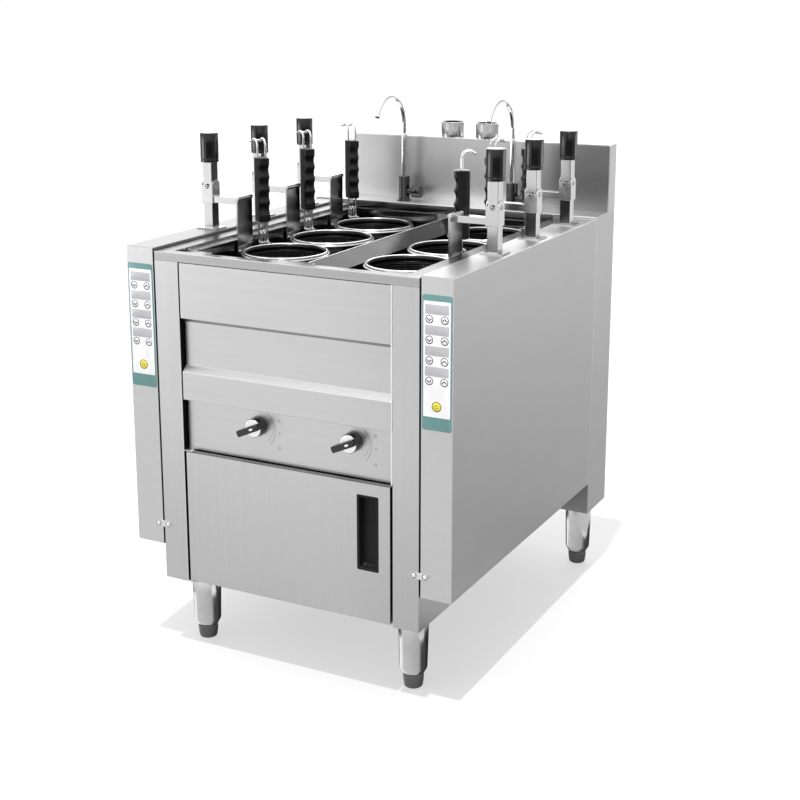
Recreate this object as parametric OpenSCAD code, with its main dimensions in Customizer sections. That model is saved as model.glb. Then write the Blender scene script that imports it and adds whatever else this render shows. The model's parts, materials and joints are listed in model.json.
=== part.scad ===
// Floor-standing pasta cooker with six lift posts, six round baskets, two tanks, two side
// boxes that hold the lifts, a rear duct with a splashback, and two swivel water taps.
// Millimetres, +Z up, front towards -Y. The origin lies on the floor below the centre.

/* [Overall] */
// Width of the main cabinet
cab_w = 550; // [520:1:600]
// Width of one side box
box_w = 60; // [58:1:75]
// Gap between the main cabinet and each side box
box_gap = 3.5; // [2:0.5:6]
// Depth from the front face to the back of the rear duct
depth = 810; // [800:1:860]
// Height of the worktop rim above the floor
worktop_h = 790; // [770:1:850]
// Height of the underside of the cabinet above the floor
body_h = 144; // [120:1:170]
// Thickness of the outer sheet
sheet = 2; // [1.5:0.5:3]

/* [Rear duct and splashback] */
// Depth of the rear duct
duct_d = 113; // [105:1:130]
// Depth of the splashback
splash_d = 39; // [30:1:50]
// Height of the splashback above the worktop
splash_h = 151; // [100:1:220]
// Height of the rear deck above the worktop
deck_rise = 8; // [6:1:15]
// Outer diameter of a flue stub
flue_d = 50; // [40:1:60]
// Height of a flue stub
flue_h = 33; // [20:1:60]
// Distance between the two flue stubs
flue_pitch = 84; // [70:1:120]

/* [Tanks] */
// Width of the worktop rim beside the opening
rim_w = 33; // [30:1:40]
// Width of the worktop rim in front of the opening
rim_front = 19; // [15:1:30]
// Height of the worktop's outer band
rim_h = 17; // [14:1:25]
// Depth of the step inside the opening
step_h = 8; // [5:1:12]
// Width of the step inside the opening
step_w = 8; // [6:1:12]
// Depth of the tanks below their rim
tank_deep = 220; // [205:1:240]
// Width of the roof between the two tanks
divider_w = 60; // [50:1:70]
// Height of the ridge below the worktop
ridge_drop = 15; // [10:1:20]
// Fall of the roof between the ridge and its edges
divider_fall = 23; // [15:1:30]
// Length of the ledges at the front of the opening
ledge_d = 42; // [30:1:60]

/* [Lifts] */
// Distance of the rear lifts from the rear duct
lift_back = 97; // [90:1:108]
// Distance between two lifts on one side
lift_pitch = 182; // [180:1:186]
// Travel of a lift
lift_travel = 165; // [120:1:165]
// Width of the square lift post
post_w = 22; // [18:1:24]
// Height of the top of a cap above the worktop
cap_top = 196; // [180:1:230]
// Diameter of a cap
cap_d = 36; // [30:1:44]
// Height of a cap
cap_h = 58; // [40:1:70]
// Height of the arm's centre line above the worktop
arm_rise = 65; // [58:1:80]
// Height of the arm
arm_h = 13; // [8:1:18]
// Width of the arm
arm_w = 20; // [14:1:26]
// Width of the hanger plate
hanger_w = 52; // [40:1:64]
// Thickness of the hanger plate
hanger_t = 4; // [3:0.5:5]
// Distance from the centre of the cabinet to the middle of a hanger plate
hanger_x = 230; // [228:0.5:231]

/* [Baskets] */
// Distance from the centre of the cabinet to the centre of a basket
basket_x = 136; // [134:1:137]
// Radius of the centre line of a basket's rim wire
rim_r = 81.5; // [78:0.5:82]
// Diameter of the rim wire
rim_wire = 5; // [4:0.5:6]
// Depth of a basket's rim below the worktop
rim_drop = 28; // [20:1:40]
// Depth of a basket
basket_h = 150; // [120:1:155]
// Wall of a basket
basket_wall = 1.5; // [1:0.5:2]
// Distance from a basket's centre to its handle
handle_r = 97; // [95:0.5:98]
// Distance between the two handle wires
handle_gap = 18; // [15:1:19]
// Diameter of a handle wire
handle_wire = 4; // [3:0.5:4.5]
// Length of a grip
grip_l = 129; // [100:1:140]
// Depth of a grip, away from the basket
grip_d = 31; // [26:1:34]
// Width of a grip
grip_w = 25; // [24:1:28]
// Height of the lower end of a grip above the worktop
grip_rise = 18; // [15:1:30]

/* [Front] */
// Width of a front stile
stile_w = 52; // [45:1:58]
// Gap between the stiles and the panels
panel_gap = 3; // [2:0.5:4]
// Depth of the recessed front panels
recess_d = 13; // [10:1:16]
// Height of the upper panel
upper_h = 104; // [90:1:110]
// Height of the recessed middle panel
middle_h = 84; // [75:1:90]
// Height of the lower flush panel
lower_h = 54; // [45:1:60]
// Height of the control panel
control_h = 99; // [92:1:105]
// Gap above the door
door_gap = 4; // [3:0.5:6]
// Depth of the door
door_d = 22; // [18:1:24]
// Width of the recessed door pull
pull_w = 38; // [34:1:60]
// Height of the recessed door pull
pull_h = 137; // [100:1:180]
// Depth of the recessed door pull
pull_d = 17; // [12:1:18]
// Diameter of a gas knob
knob_d = 37; // [32:1:42]
// Height of a gas knob's skirt
knob_h = 18; // [16:1:24]
// Distance between the two gas knobs
knob_pitch = 200; // [190:1:210]

/* [Taps] */
// Distance between the two taps
tap_pitch = 262; // [250:1:270]
// Height of a tap body
tap_h = 55; // [46:1:70]
// Diameter of a tap body
tap_d = 25; // [22:1:30]
// Height of the top of a spout above the deck
spout_h = 240; // [220:1:280]
// Radius of the arch of a spout
spout_r = 66; // [55:1:68]
// Diameter of the spout tube
spout_d = 10; // [8:0.5:14]

/* [Legs] */
// Diameter of a leg at its top
leg_d = 58; // [50:1:60]
// Height of an adjustable foot below its leg
foot_h = 29; // [25:1:45]

/* [Hidden] */

$fn = 48;
LEFT = -1;
RIGHT = 1;

// Shared clearances
run_clear = 0.05;  // between a turning shaft and its bore, on each side
slide_clear = 0.1; // between a sliding post and its guide, on each side
seat_gap = 0.3;    // between a piece and what it rests on
cut = 1;           // how far a cut runs past a face

// Main planes
half_cab = cab_w / 2;
half_all = half_cab + box_gap + box_w;
front_y = -depth / 2;
duct_y = depth - duct_d;
box_step = 5;
box_lift = 68;
box_top = worktop_h + box_step;
box_bottom = body_h + box_lift;
deck_z = worktop_h + deck_rise;
splash_y = depth - splash_d;
splash_top = worktop_h + splash_h;

// Opening of the worktop and the tanks below it
open_x = half_cab - rim_w;
tank_x = open_x - step_w + sheet;
tank_wall = 2;
tank_back = duct_y - sheet;
tank_top = worktop_h - step_h - sheet;
tank_floor = tank_top - tank_deep;
tank_front = rim_front + step_w - tank_wall;
ridge_z = worktop_h - ridge_drop;
eave_z = ridge_z - divider_fall;
drain_d = 27;
drain_x = 62;
drain_y = 116;
drain_wall = 2;

// Front layout, from the top down
top_band_z = worktop_h - rim_h;
upper_gap = 1;
bevel_h = 8;
bevel_low_h = 11;
upper_z = top_band_z - upper_gap - upper_h;
middle_top = upper_z - bevel_h;
middle_z = middle_top - middle_h;
lower_top = middle_z - bevel_low_h;
lower_z = lower_top - lower_h;
control_z = lower_z - control_h;
door_top = control_z - door_gap;
panel_x = half_cab - stile_w - panel_gap;
stile_x = half_cab - stile_w;
stile_gap = 1;
stile_d = tank_front - stile_gap;

// Lifts
lift_x = half_all - box_w / 2;
cap_z = worktop_h + cap_top - cap_h;
post_drop = 20;
post_low = tank_floor - post_drop;
rod_d = 16;
rod_l = 210;
arm_z = worktop_h + arm_rise;
bracket_h = 46;
bracket_wall = 2;
bracket_r = 10;
screw_head_d = 7;
screw_head_h = 2.5;
ring_step = 3;
ring_r = rim_r + ring_step;
rim_z = worktop_h - rim_drop;
ring_z = rim_z - sqrt(pow(rim_wire + seat_gap, 2) - pow(ring_step, 2));
hanger_tail = 17;
hanger_low = rim_drop + hanger_tail;

// Turn of each basket's handle, in degrees away from the side wall towards the back
handle_turns = [[31, 29, 32], [31, 58, 55]];

// Stands a shape on the front face, so that Y counts from there
module from_front() translate([0, front_y, 0]) children();

// Block given by its lowest and highest corners
module block(low, high) translate(low) cube(high - low);

// Block with a mirrored twin on the other side of the cabinet
module both_sides() {
    children();
    mirror([1, 0, 0]) children();
}

// Upright tube with a through bore
module pipe(outer_d, inner_d, height) {
    difference() {
        cylinder(d = outer_d, h = height);
        translate([0, 0, -cut]) cylinder(d = inner_d, h = height + 2 * cut);
    }
}

// Bent round wire: an arc in the XZ plane that starts at +X and turns towards +Z
module wire_arc(radius, wire_d, angle) {
    rotate([90, 0, 0]) rotate_extrude(angle = angle) translate([radius, 0]) circle(d = wire_d);
}

// Upright plate in the YZ plane with its two upper corners rounded
module arched_plate(width, height, radius) {
    rotate([90, 0, 90]) linear_extrude(bracket_wall) {
        translate([-width / 2, 0]) square([width, height - radius]);
        translate([radius - width / 2, 0]) square([width - 2 * radius, height]);
        for (k = [-1, 1]) translate([k * (width / 2 - radius), height - radius]) circle(r = radius);
    }
}

// Base of the carcass: a welded ring of channel with its floor plate
base_rail_h = 30;
base_rail_w = 28;
leg_inset = 45;
front_leg_y = 70;
rear_leg_inset = 45;
stud_d = 12;
outlet_hole = 36;
module base_frame() {
    low = body_h;
    back = depth - sheet;
    wide = half_cab - sheet;
    rear_wide = half_all - sheet;
    front = stile_d + sheet;
    difference() {
        union() {
            block([-wide, front, low], [wide, duct_y, low + base_rail_h]);
            block([-rear_wide, duct_y + sheet, low], [rear_wide, back, low + base_rail_h]);
            block([-wide, duct_y - cut, low], [wide, duct_y + sheet + cut, low + base_rail_h]);
        }
        block([-wide + base_rail_w, front + base_rail_w, low + sheet],
              [wide - base_rail_w, duct_y - base_rail_w / 2, low + base_rail_h + cut]);
        block([-rear_wide + 2 * base_rail_w, duct_y + base_rail_w, low + sheet],
              [rear_wide - 2 * base_rail_w, back - base_rail_w / 2, low + base_rail_h + cut]);
        for (p = leg_places()) translate([p[0], p[1], low - cut])
            cylinder(d = stud_d + 2 * run_clear, h = base_rail_h);
        translate([outlet_x, drain_y, low - cut]) cylinder(d = outlet_hole, h = base_rail_h);
    }
}

function leg_places() = [
    for (s = [LEFT, RIGHT]) [s * (half_cab - leg_inset), front_leg_y],
    for (s = [LEFT, RIGHT]) [s * (half_all - rear_leg_inset), depth - rear_leg_inset]];

// Welded carcass: base, side walls, box-section stiles, cross rail and the door's two pivot plates
pin_d = 8;
pivot_x = 210;
pivot_y = 8;
pivot_t = 2.4;
pivot_play = 0.8;
pivot_reach = 13;
rail_h = 34;
rail_d = 8;
module carcass() color("lightgray") from_front() {
    base_frame();
    top = top_band_z;
    for (s = [LEFT, RIGHT]) mirror([s < 0 ? 1 : 0, 0, 0]) {
        block([half_cab - sheet, 0, body_h], [half_cab, duct_y, top]);
        difference() {
            block([stile_x, 0, body_h], [half_cab, stile_d, top]);
            block([stile_x + sheet, sheet, body_h - cut],
                  [half_cab - sheet, stile_d - sheet, top + cut]);
            translate([half_cab + box_gap / 2 - latch_screw_x, 0, latch_z]) latch_hole();
        }
        block([half_cab - base_rail_w, duct_y - sheet, body_h + base_rail_h], [half_cab, duct_y, top]);
    }
    rail_z = lower_z + (lower_h - rail_h) / 2;
    block([-stile_x - sheet, stile_d - rail_d, rail_z], [stile_x + sheet, stile_d, rail_z + rail_h]);
    for (z = pivot_plates()) difference() {
        union() {
            block([-stile_x - sheet, pivot_y - pivot_reach / 2, z],
                  [-pivot_x, pivot_y + pivot_reach / 2, z + pivot_t]);
            translate([-pivot_x, pivot_y, z]) cylinder(d = pivot_reach, h = pivot_t);
        }
        translate([-pivot_x, pivot_y, z - cut]) cylinder(d = pin_d + 2 * run_clear, h = pivot_t + 2 * cut);
    }
}

function pivot_plates() = [body_h, door_top + (door_gap - pivot_t) / 2];

// Worktop: outer band, flat rim, stepped edge of the opening and the front ledges
ledge_drop = 6;
side_ledge_w = 70;
centre_ledge_w = 100;
ledge_cut = 14;
module worktop() color("gainsboro") from_front() {
    back = duct_y;
    low = worktop_h - rim_h;
    deep = worktop_h - step_h - sheet;
    difference() {
        union() {
            difference() {
                block([-half_cab, 0, low], [half_cab, back, worktop_h]);
                block([-half_cab + sheet, sheet, low - cut],
                      [half_cab - sheet, back + cut, worktop_h - sheet]);
            }
            block([-open_x - sheet, rim_front - sheet, deep], [open_x + sheet, back, worktop_h]);
        }
        block([-open_x, rim_front, worktop_h - step_h], [open_x, back + cut, worktop_h + cut]);
        block([-open_x + step_w, rim_front + step_w, deep - cut],
              [open_x - step_w, back + cut, worktop_h + cut]);
    }
    ledge_z = worktop_h - ledge_drop;
    for (s = [LEFT, RIGHT]) mirror([s < 0 ? 1 : 0, 0, 0]) translate([0, 0, ledge_z - sheet]) {
        linear_extrude(sheet) polygon([
            [open_x, rim_front], [open_x, rim_front + ledge_d],
            [open_x - side_ledge_w + ledge_cut, rim_front + ledge_d],
            [open_x - side_ledge_w, rim_front]]);
    }
    translate([0, 0, ledge_z - sheet]) linear_extrude(sheet) polygon([
        [-centre_ledge_w / 2, rim_front], [centre_ledge_w / 2, rim_front],
        [centre_ledge_w / 2 - ledge_cut, rim_front + ledge_d],
        [ledge_cut - centre_ledge_w / 2, rim_front + ledge_d]]);
}

// Two tanks: deep pans under the opening, each with its drain outlet
module tanks() color("dimgray") from_front() both_sides() {
    inner = divider_w / 2;
    difference() {
        union() {
            difference() {
                block([inner - tank_wall, tank_front, tank_floor - tank_wall],
                      [tank_x, tank_back, tank_top]);
                block([inner, tank_front + tank_wall, tank_floor],
                      [tank_x - tank_wall, tank_back - tank_wall, tank_top + cut]);
                block([inner - tank_wall - cut, tank_front - cut, eave_z - sheet - seat_gap],
                      [inner + cut, tank_back + cut, tank_top + cut]);
            }
            translate([drain_x, drain_y, tank_floor - drain_stub])
                cylinder(d = drain_d, h = drain_stub);
        }
        translate([drain_x, drain_y, tank_floor - drain_stub - cut])
            cylinder(d = drain_d - 2 * drain_wall, h = drain_stub + 2 * cut);
    }
}
drain_stub = 24;

// Roof over the gap between the tanks
module divider_cap() color("gray") from_front() {
    half = divider_w / 2;
    run = half + sheet;
    translate([0, tank_back - tank_wall, 0]) rotate([90, 0, 0])
        linear_extrude(tank_back - 2 * tank_wall - tank_front) polygon([
            [0, ridge_z], [run, eave_z], [run, eave_z - divider_lip],
            [half + seat_gap, eave_z - divider_lip], [half + seat_gap, eave_z - sheet],
            [0, ridge_z - sheet * 5 / 4],
            [-half - seat_gap, eave_z - sheet], [-half - seat_gap, eave_z - divider_lip],
            [-run, eave_z - divider_lip], [-run, eave_z]]);
}
divider_lip = 12;

// Bent front sheet: upper panel, recessed middle panel and lower flush panel
module front_panel() color("silver") from_front() {
    top = top_band_z - upper_gap;
    outline = [
        [0, top], [0, upper_z], [recess_d, middle_top], [recess_d, middle_z], [0, lower_top],
        [0, lower_z], [stile_d - rail_d - seat_gap, lower_z]];
    inner = [
        [stile_d - rail_d - seat_gap, lower_z + sheet], [sheet, lower_z + sheet],
        [sheet, lower_top - sheet / 2], [recess_d + sheet, middle_z - sheet / 2],
        [recess_d + sheet, middle_top + sheet / 2], [sheet, upper_z + sheet / 2], [sheet, top]];
    translate([-panel_x, 0, 0]) rotate([90, 0, 90]) linear_extrude(2 * panel_x)
        polygon(concat(outline, inner));
}

// Control panel with a hole for each gas valve's spindle
knob_x = 37;
knob_rise = 66;
spindle_d = 8;
spindle_hole = 14;
module control_panel() color("silver") from_front() {
    difference() {
        union() {
            block([-panel_x, recess_d, control_z], [panel_x, recess_d + sheet, lower_z - seat_gap]);
            block([-panel_x, recess_d, control_z], [panel_x, stile_d, control_z + sheet]);
        }
        for (x = knob_places()) translate([x, recess_d - cut, control_z + knob_rise]) rotate([-90, 0, 0])
            cylinder(d = spindle_hole, h = sheet + 2 * cut);
    }
}

function knob_places() = [knob_x - knob_pitch / 2, knob_x + knob_pitch / 2];

// Side boxes: folded covers, open towards the cabinet's side walls
guide_hole = 30;
latch_screw_d = 4;
latch_screw_x = 11;
latch_rise = 110;
latch_z = body_h + latch_rise;
module side_boxes() color("silver") from_front() both_sides() {
    low = half_all - box_w;
    difference() {
        block([low, 0, box_bottom], [half_all, duct_y, box_top]);
        block([low + sheet, sheet, box_bottom + sheet], [half_all - sheet, duct_y - sheet, box_top - sheet]);
        block([low - cut, 6 * sheet, box_bottom + 6 * sheet],
              [low + sheet + cut, duct_y - 6 * sheet, box_top - 6 * sheet]);
        for (i = [0 : 2]) translate([lift_x, lift_y(i), box_top])
            cube([guide_hole + 2 * slide_clear, guide_hole + 2 * slide_clear, 4 * sheet], center = true);
        translate([low - box_gap / 2 + latch_screw_x, 0, latch_z]) latch_hole();
    }
}

function lift_y(i) = duct_y - lift_back - (2 - i) * lift_pitch;

// Rear duct: a full-height box behind everything; its top is the deck that carries the taps
tap_hole = 16;
inlet_hole = 24;
module rear_duct() color("silver") from_front() {
    difference() {
        block([-half_all, duct_y, body_h + base_rail_h], [half_all, depth, deck_z]);
        block([-half_all + sheet, duct_y + sheet, body_h + base_rail_h - cut],
              [half_all - sheet, depth - sheet, deck_z - sheet]);
        for (s = [LEFT, RIGHT]) translate([s * tap_pitch / 2, tap_y, deck_z - 2 * sheet])
            cylinder(d = tap_hole, h = 4 * sheet);
        for (x = inlet_places()) translate([x, depth, inlet_z]) rotate([90, 0, 0])
            cylinder(d = inlet_hole, h = 4 * sheet, center = true);
        for (x = flue_places()) translate([x, depth - splash_d / 2, deck_z - 2 * sheet])
            cylinder(d = splash_d - 4 * sheet, h = 4 * sheet);
    }
    for (s = [LEFT, RIGHT]) mirror([s < 0 ? 1 : 0, 0, 0]) {
        block([half_all - sheet, duct_y, body_h], [half_all, depth, body_h + base_rail_h + cut]);
        block([half_cab, duct_y, body_h], [half_all, duct_y + sheet, body_h + base_rail_h + cut]);
    }
    block([-half_all, depth - sheet, body_h], [half_all, depth, body_h + base_rail_h + cut]);
}
tap_setback = 38;
tap_y = duct_y + tap_setback;
inlet_z = 320;
inlet_apart = 90;
function inlet_places() = [for (k = [-1, 0, 1]) k * inlet_apart];
function flue_places() = [flue_mid - flue_pitch / 2, flue_mid + flue_pitch / 2];
flue_mid = 4;

// Splashback: a flat hollow box on the deck, flush with the right end and short of the left,
// with two welded flue stubs that end in a turned-out rim
flue_wall = 2;
flue_rim = 3;
flue_rim_h = 3;
module splashback() color("silver") from_front() {
    left = -half_cab;
    difference() {
        union() {
            block([left, splash_y, deck_z], [half_all, depth, splash_top]);
            for (x = flue_places()) translate([x, depth - splash_d / 2, splash_top - sheet]) {
                cylinder(d = flue_d, h = flue_h + sheet);
                translate([0, 0, flue_h + sheet - flue_rim_h])
                    cylinder(d1 = flue_d, d2 = flue_d + flue_rim, h = flue_rim_h);
            }
        }
        block([left + sheet, splash_y + sheet, deck_z - cut],
              [half_all - sheet, depth - sheet, splash_top - sheet]);
        for (x = flue_places()) translate([x, depth - splash_d / 2, splash_top - 2 * sheet]) {
            cylinder(d = splash_d - 4 * sheet, h = 4 * sheet);
            translate([0, 0, 2 * sheet]) cylinder(d = flue_d - 2 * flue_wall, h = flue_h + cut);
        }
    }
}

// Four bullet legs, each with a threaded socket for its foot
leg_low_d = 52;
leg_end_d = 41;
leg_chamfer_h = 10;
leg_stud_h = 14;
module legs() color("silver") from_front() {
    for (p = leg_places()) translate([p[0], p[1], foot_h]) difference() {
        union() {
            cylinder(d1 = leg_end_d, d2 = leg_low_d, h = leg_chamfer_h);
            translate([0, 0, leg_chamfer_h])
                cylinder(d1 = leg_low_d, d2 = leg_d, h = body_h - foot_h - leg_chamfer_h);
            translate([0, 0, body_h - foot_h - cut]) cylinder(d = stud_d, h = leg_stud_h + cut);
        }
        translate([0, 0, -cut]) cylinder(d = stud_d + 2 * run_clear, h = stud_l + cut);
    }
}

// Four adjustable feet: a tapered pad with a stud
stud_l = 60;
foot_low_d = 34;
foot_top_d = 39;
module feet() color("dimgray") from_front() {
    for (p = leg_places()) translate([p[0], p[1], 0]) {
        cylinder(d1 = foot_low_d, d2 = foot_top_d, h = foot_h);
        translate([0, 0, foot_h - cut]) cylinder(d = stud_d, h = stud_l);
    }
}

// Keypad film on the front of each side box
film_w = 56;
film_h = 238;
film_top = 26;
film_t = 0.8;
module membranes() color("cadetblue") from_front() both_sides() {
    translate([half_all - box_w / 2 - film_w / 2, -film_t, worktop_h - film_top - film_h])
        cube([film_w, film_t, film_h]);
}

// Hole of a latch screw through the sheet and the plate on it
module latch_hole() {
    rotate([90, 0, 0]) cylinder(d = latch_screw_d + 2 * slide_clear, h = 4 * sheet, center = true);
}

// Two plates that tie the side boxes to the cabinet
latch_w = 40;
latch_h = 16;
latch_t = 2;
module latch_plates() color("gainsboro") from_front() both_sides() {
    x = half_cab + box_gap / 2;
    difference() {
        translate([x - latch_w / 2, -latch_t, latch_z - latch_h / 2]) cube([latch_w, latch_t, latch_h]);
        for (k = [-1, 1]) translate([x + k * latch_screw_x, 0, latch_z]) latch_hole();
    }
}

// Screws of the two plates
module screws() color("gray") from_front() both_sides() {
    x = half_cab + box_gap / 2;
    for (k = [-1, 1]) translate([x + k * latch_screw_x, -latch_t, latch_z]) {
        rotate([90, 0, 0]) cylinder(d = screw_head_d, h = screw_head_h);
        rotate([-90, 0, 0]) cylinder(d = latch_screw_d, h = 2 * latch_t + sheet);
    }
}

// Tap bodies on the deck, with the boss of the side valve and the shank below the deck
tap_flange_d = 33;
tap_flange_h = 4;
tap_boss_d = 14;
tap_boss_l = 8;
tap_valve_z = 22;
tap_shank_l = 30;
spigot_l = 26;
spigot_d = 12;
valve_stem_d = 8;
valve_stem_l = 12;
module tap_bodies() color("silver") from_front() {
    for (s = [LEFT, RIGHT]) translate([s * tap_pitch / 2, tap_y, deck_z]) difference() {
        union() {
            cylinder(d = tap_flange_d, h = tap_flange_h);
            cylinder(d = tap_d, h = tap_h);
            translate([0, 0, -tap_shank_l])
                cylinder(d = tap_hole - 2 * slide_clear, h = tap_shank_l + cut);
            translate([0, 0, tap_valve_z]) rotate([0, 90, 0])
                cylinder(d = tap_boss_d, h = tap_d / 2 + tap_boss_l);
        }
        translate([0, 0, tap_h - spigot_l]) cylinder(d = spigot_d + 2 * run_clear, h = spigot_l + cut);
        translate([tap_d / 2 + tap_boss_l - valve_stem_l, 0, tap_valve_z]) rotate([0, 90, 0])
            cylinder(d = valve_stem_d + 2 * run_clear, h = valve_stem_l + cut);
    }
}

// Swivel spout: spigot, collar, riser and an arch that ends above the tank
collar_d = 13;
collar_h = 96;
arch_turn = 152;
tip_l = 6;
tip_d = 12;
module spout(s) color("silver") from_front() translate([s * tap_pitch / 2, tap_y, deck_z + tap_h]) {
    rise = spout_h - tap_h - spout_r - spout_d / 2;
    translate([0, 0, seat_gap - spigot_l]) cylinder(d = spigot_d, h = spigot_l);
    translate([0, 0, seat_gap]) cylinder(d = collar_d, h = collar_h);
    translate([0, 0, collar_h]) cylinder(d = spout_d, h = rise - collar_h);
    translate([0, -spout_r, rise]) rotate([0, 0, 90]) wire_arc(spout_r, spout_d, arch_turn);
    translate([0, -spout_r, rise]) rotate([arch_turn, 0, 0]) translate([0, spout_r, 0])
        cylinder(d = tip_d, h = tip_l);
}

// Side valve handle of a tap: a stem and a round knob
handle_knob_d = 27;
handle_knob_l = 22;
handle_face_t = 4;
module tap_handle(s) color("silver") from_front()
    translate([s * tap_pitch / 2 + tap_d / 2 + tap_boss_l, tap_y, deck_z + tap_valve_z])
    rotate([0, 90, 0]) {
        translate([0, 0, -valve_stem_l + seat_gap]) cylinder(d = valve_stem_d, h = valve_stem_l);
        translate([0, 0, seat_gap]) {
            cylinder(d1 = tap_boss_d, d2 = handle_knob_d, h = handle_knob_l - handle_face_t);
            translate([0, 0, handle_knob_l - handle_face_t]) cylinder(d = handle_knob_d, h = handle_face_t);
        }
    }

// Lift drives: six upright actuators, each with the bore for its push rod
drive_w = 44;
drive_top = 20;
drive_h = 232;
drive_pad_h = 60;
drive_pad_w = 30;
module lift_drives() color("slategray") from_front() both_sides() {
    for (i = [0 : 2]) translate([lift_x, lift_y(i), post_low - drive_top - drive_h]) difference() {
        union() {
            translate([-drive_w / 2, -drive_w / 2, 0]) cube([drive_w, drive_w, drive_h]);
            for (z = [drive_pad_w / 2, drive_h - drive_pad_h - drive_pad_w / 2])
                translate([0, -drive_pad_w / 2, z])
                    cube([half_all - sheet - lift_x, drive_pad_w, drive_pad_h]);
        }
        translate([0, 0, 2 * drive_top]) cylinder(d = rod_d + 2 * run_clear, h = drive_h);
    }
}

// Square guides of the posts, set into the top of the side boxes
guide_w = 46;
guide_d = 38;
guide_t = 3;
guide_sleeve = 22;
module post_guides() color("gainsboro") from_front() both_sides() {
    for (i = [0 : 2]) translate([lift_x, lift_y(i), box_top]) difference() {
        union() {
            translate([-guide_w / 2, -guide_d / 2, 0]) cube([guide_w, guide_d, guide_t]);
            translate([-guide_hole / 2, -guide_hole / 2, -guide_sleeve])
                cube([guide_hole, guide_hole, guide_sleeve + guide_t / 2]);
        }
        cube([post_w + 2 * slide_clear, post_w + 2 * slide_clear, 4 * guide_sleeve], center = true);
    }
}

// Two burners: a manifold box and three ported tubes under each tank
burner_y = 170;
burner_l = 420;
burner_tube_d = 34;
burner_pitch = 56;
burner_drop = 55;
burner_z = tank_floor - burner_drop;
burner_head = 30;
burner_ear = 8;
mixer_d = 22;
module burners() color("dimgray") from_front() both_sides() {
    translate([basket_x, burner_y, burner_z]) difference() {
        union() {
            for (k = [-1, 0, 1]) translate([k * burner_pitch, 0, 0]) rotate([-90, 0, 0])
                cylinder(d = burner_tube_d, h = burner_l);
            translate([-3 * burner_pitch / 2, -burner_head, -burner_tube_d / 2])
                cube([3 * burner_pitch, burner_head + cut, burner_tube_d]);
            translate([0, -burner_head - mixer_gap(), 0]) rotate([-90, 0, 0])
                cylinder(d = mixer_d, h = mixer_gap() + cut);
            translate([-half_span(), burner_l - burner_head, -burner_ear / 2])
                cube([2 * half_span(), burner_head / 2, burner_ear]);
        }
        block([burner_wall - 3 * burner_pitch / 2, burner_wall - burner_head,
               burner_wall - burner_tube_d / 2],
              [3 * burner_pitch / 2 - burner_wall, -burner_wall, burner_tube_d / 2 - burner_wall]);
        for (k = [-1, 0, 1]) translate([k * burner_pitch, -2 * burner_wall, 0]) rotate([-90, 0, 0])
            cylinder(d = burner_tube_d - 2 * burner_wall, h = burner_l);
        translate([0, -burner_head - mixer_gap() - cut, 0]) rotate([-90, 0, 0])
            cylinder(d = mixer_d - 2 * burner_wall, h = mixer_gap() + burner_head);
        for (k = [-1, 0, 1], n = [1 : port_count])
            translate([k * burner_pitch, n * burner_l / (port_count + 1), 0])
                cylinder(d = port_d, h = burner_tube_d);
    }
}
burner_wall = 2.5;
port_count = 8;
port_d = 8;
function mixer_gap() = burner_y - burner_head - gas_pipe_y - gas_pipe_d / 2;
function half_span() = half_cab - sheet - basket_x;

// Gas line: the two valves behind the control panel, the cross pipe and the supply pipe
gas_pipe_y = 82;
gas_pipe_d = 20;
valve_w = 30;
valve_l = 50;
valve_gap = 10;
supply_x = -250;
module gas_line() color("goldenrod") from_front() {
    valve_y = recess_d + sheet + valve_gap;
    z = control_z + knob_rise;
    for (x = knob_places()) difference() {
        union() {
            block([x - valve_w / 2, valve_y, z - valve_w / 2],
                  [x + valve_w / 2, valve_y + valve_l, z + valve_w / 2]);
            translate([x, valve_y, z]) rotate([90, 0, 0])
                cylinder(d = spindle_hole - cut, h = valve_gap - seat_gap);
            translate([x, valve_y + valve_l - cut, z]) rotate([-90, 0, 0])
                cylinder(d = gas_pipe_d / 2, h = gas_pipe_y - valve_y - valve_l + cut);
        }
        translate([x, valve_y - valve_gap - cut, z]) rotate([-90, 0, 0])
            cylinder(d = spindle_d + 2 * run_clear, h = valve_gap + valve_l / 2);
    }
    difference() {
        union() {
            translate([supply_x, gas_pipe_y, z]) rotate([0, 90, 0])
                cylinder(d = gas_pipe_d, h = basket_x - supply_x + gas_pipe_d);
            translate([supply_x, gas_pipe_y, z]) sphere(d = gas_pipe_d);
            translate([supply_x, gas_pipe_y, z]) rotate([-90, 0, 0])
                cylinder(d = gas_pipe_d, h = duct_y - base_rail_w - gas_pipe_y);
            for (s = [LEFT, RIGHT]) translate([s * basket_x, gas_pipe_y, z])
                cylinder(d = gas_pipe_d, h = burner_z - z + gas_pipe_d / 2);
        }
        for (s = [LEFT, RIGHT]) translate([s * basket_x, gas_pipe_y, burner_z]) rotate([-90, 0, 0])
            cylinder(d = mixer_d + 2 * slide_clear, h = gas_pipe_d);
    }
}

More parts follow.
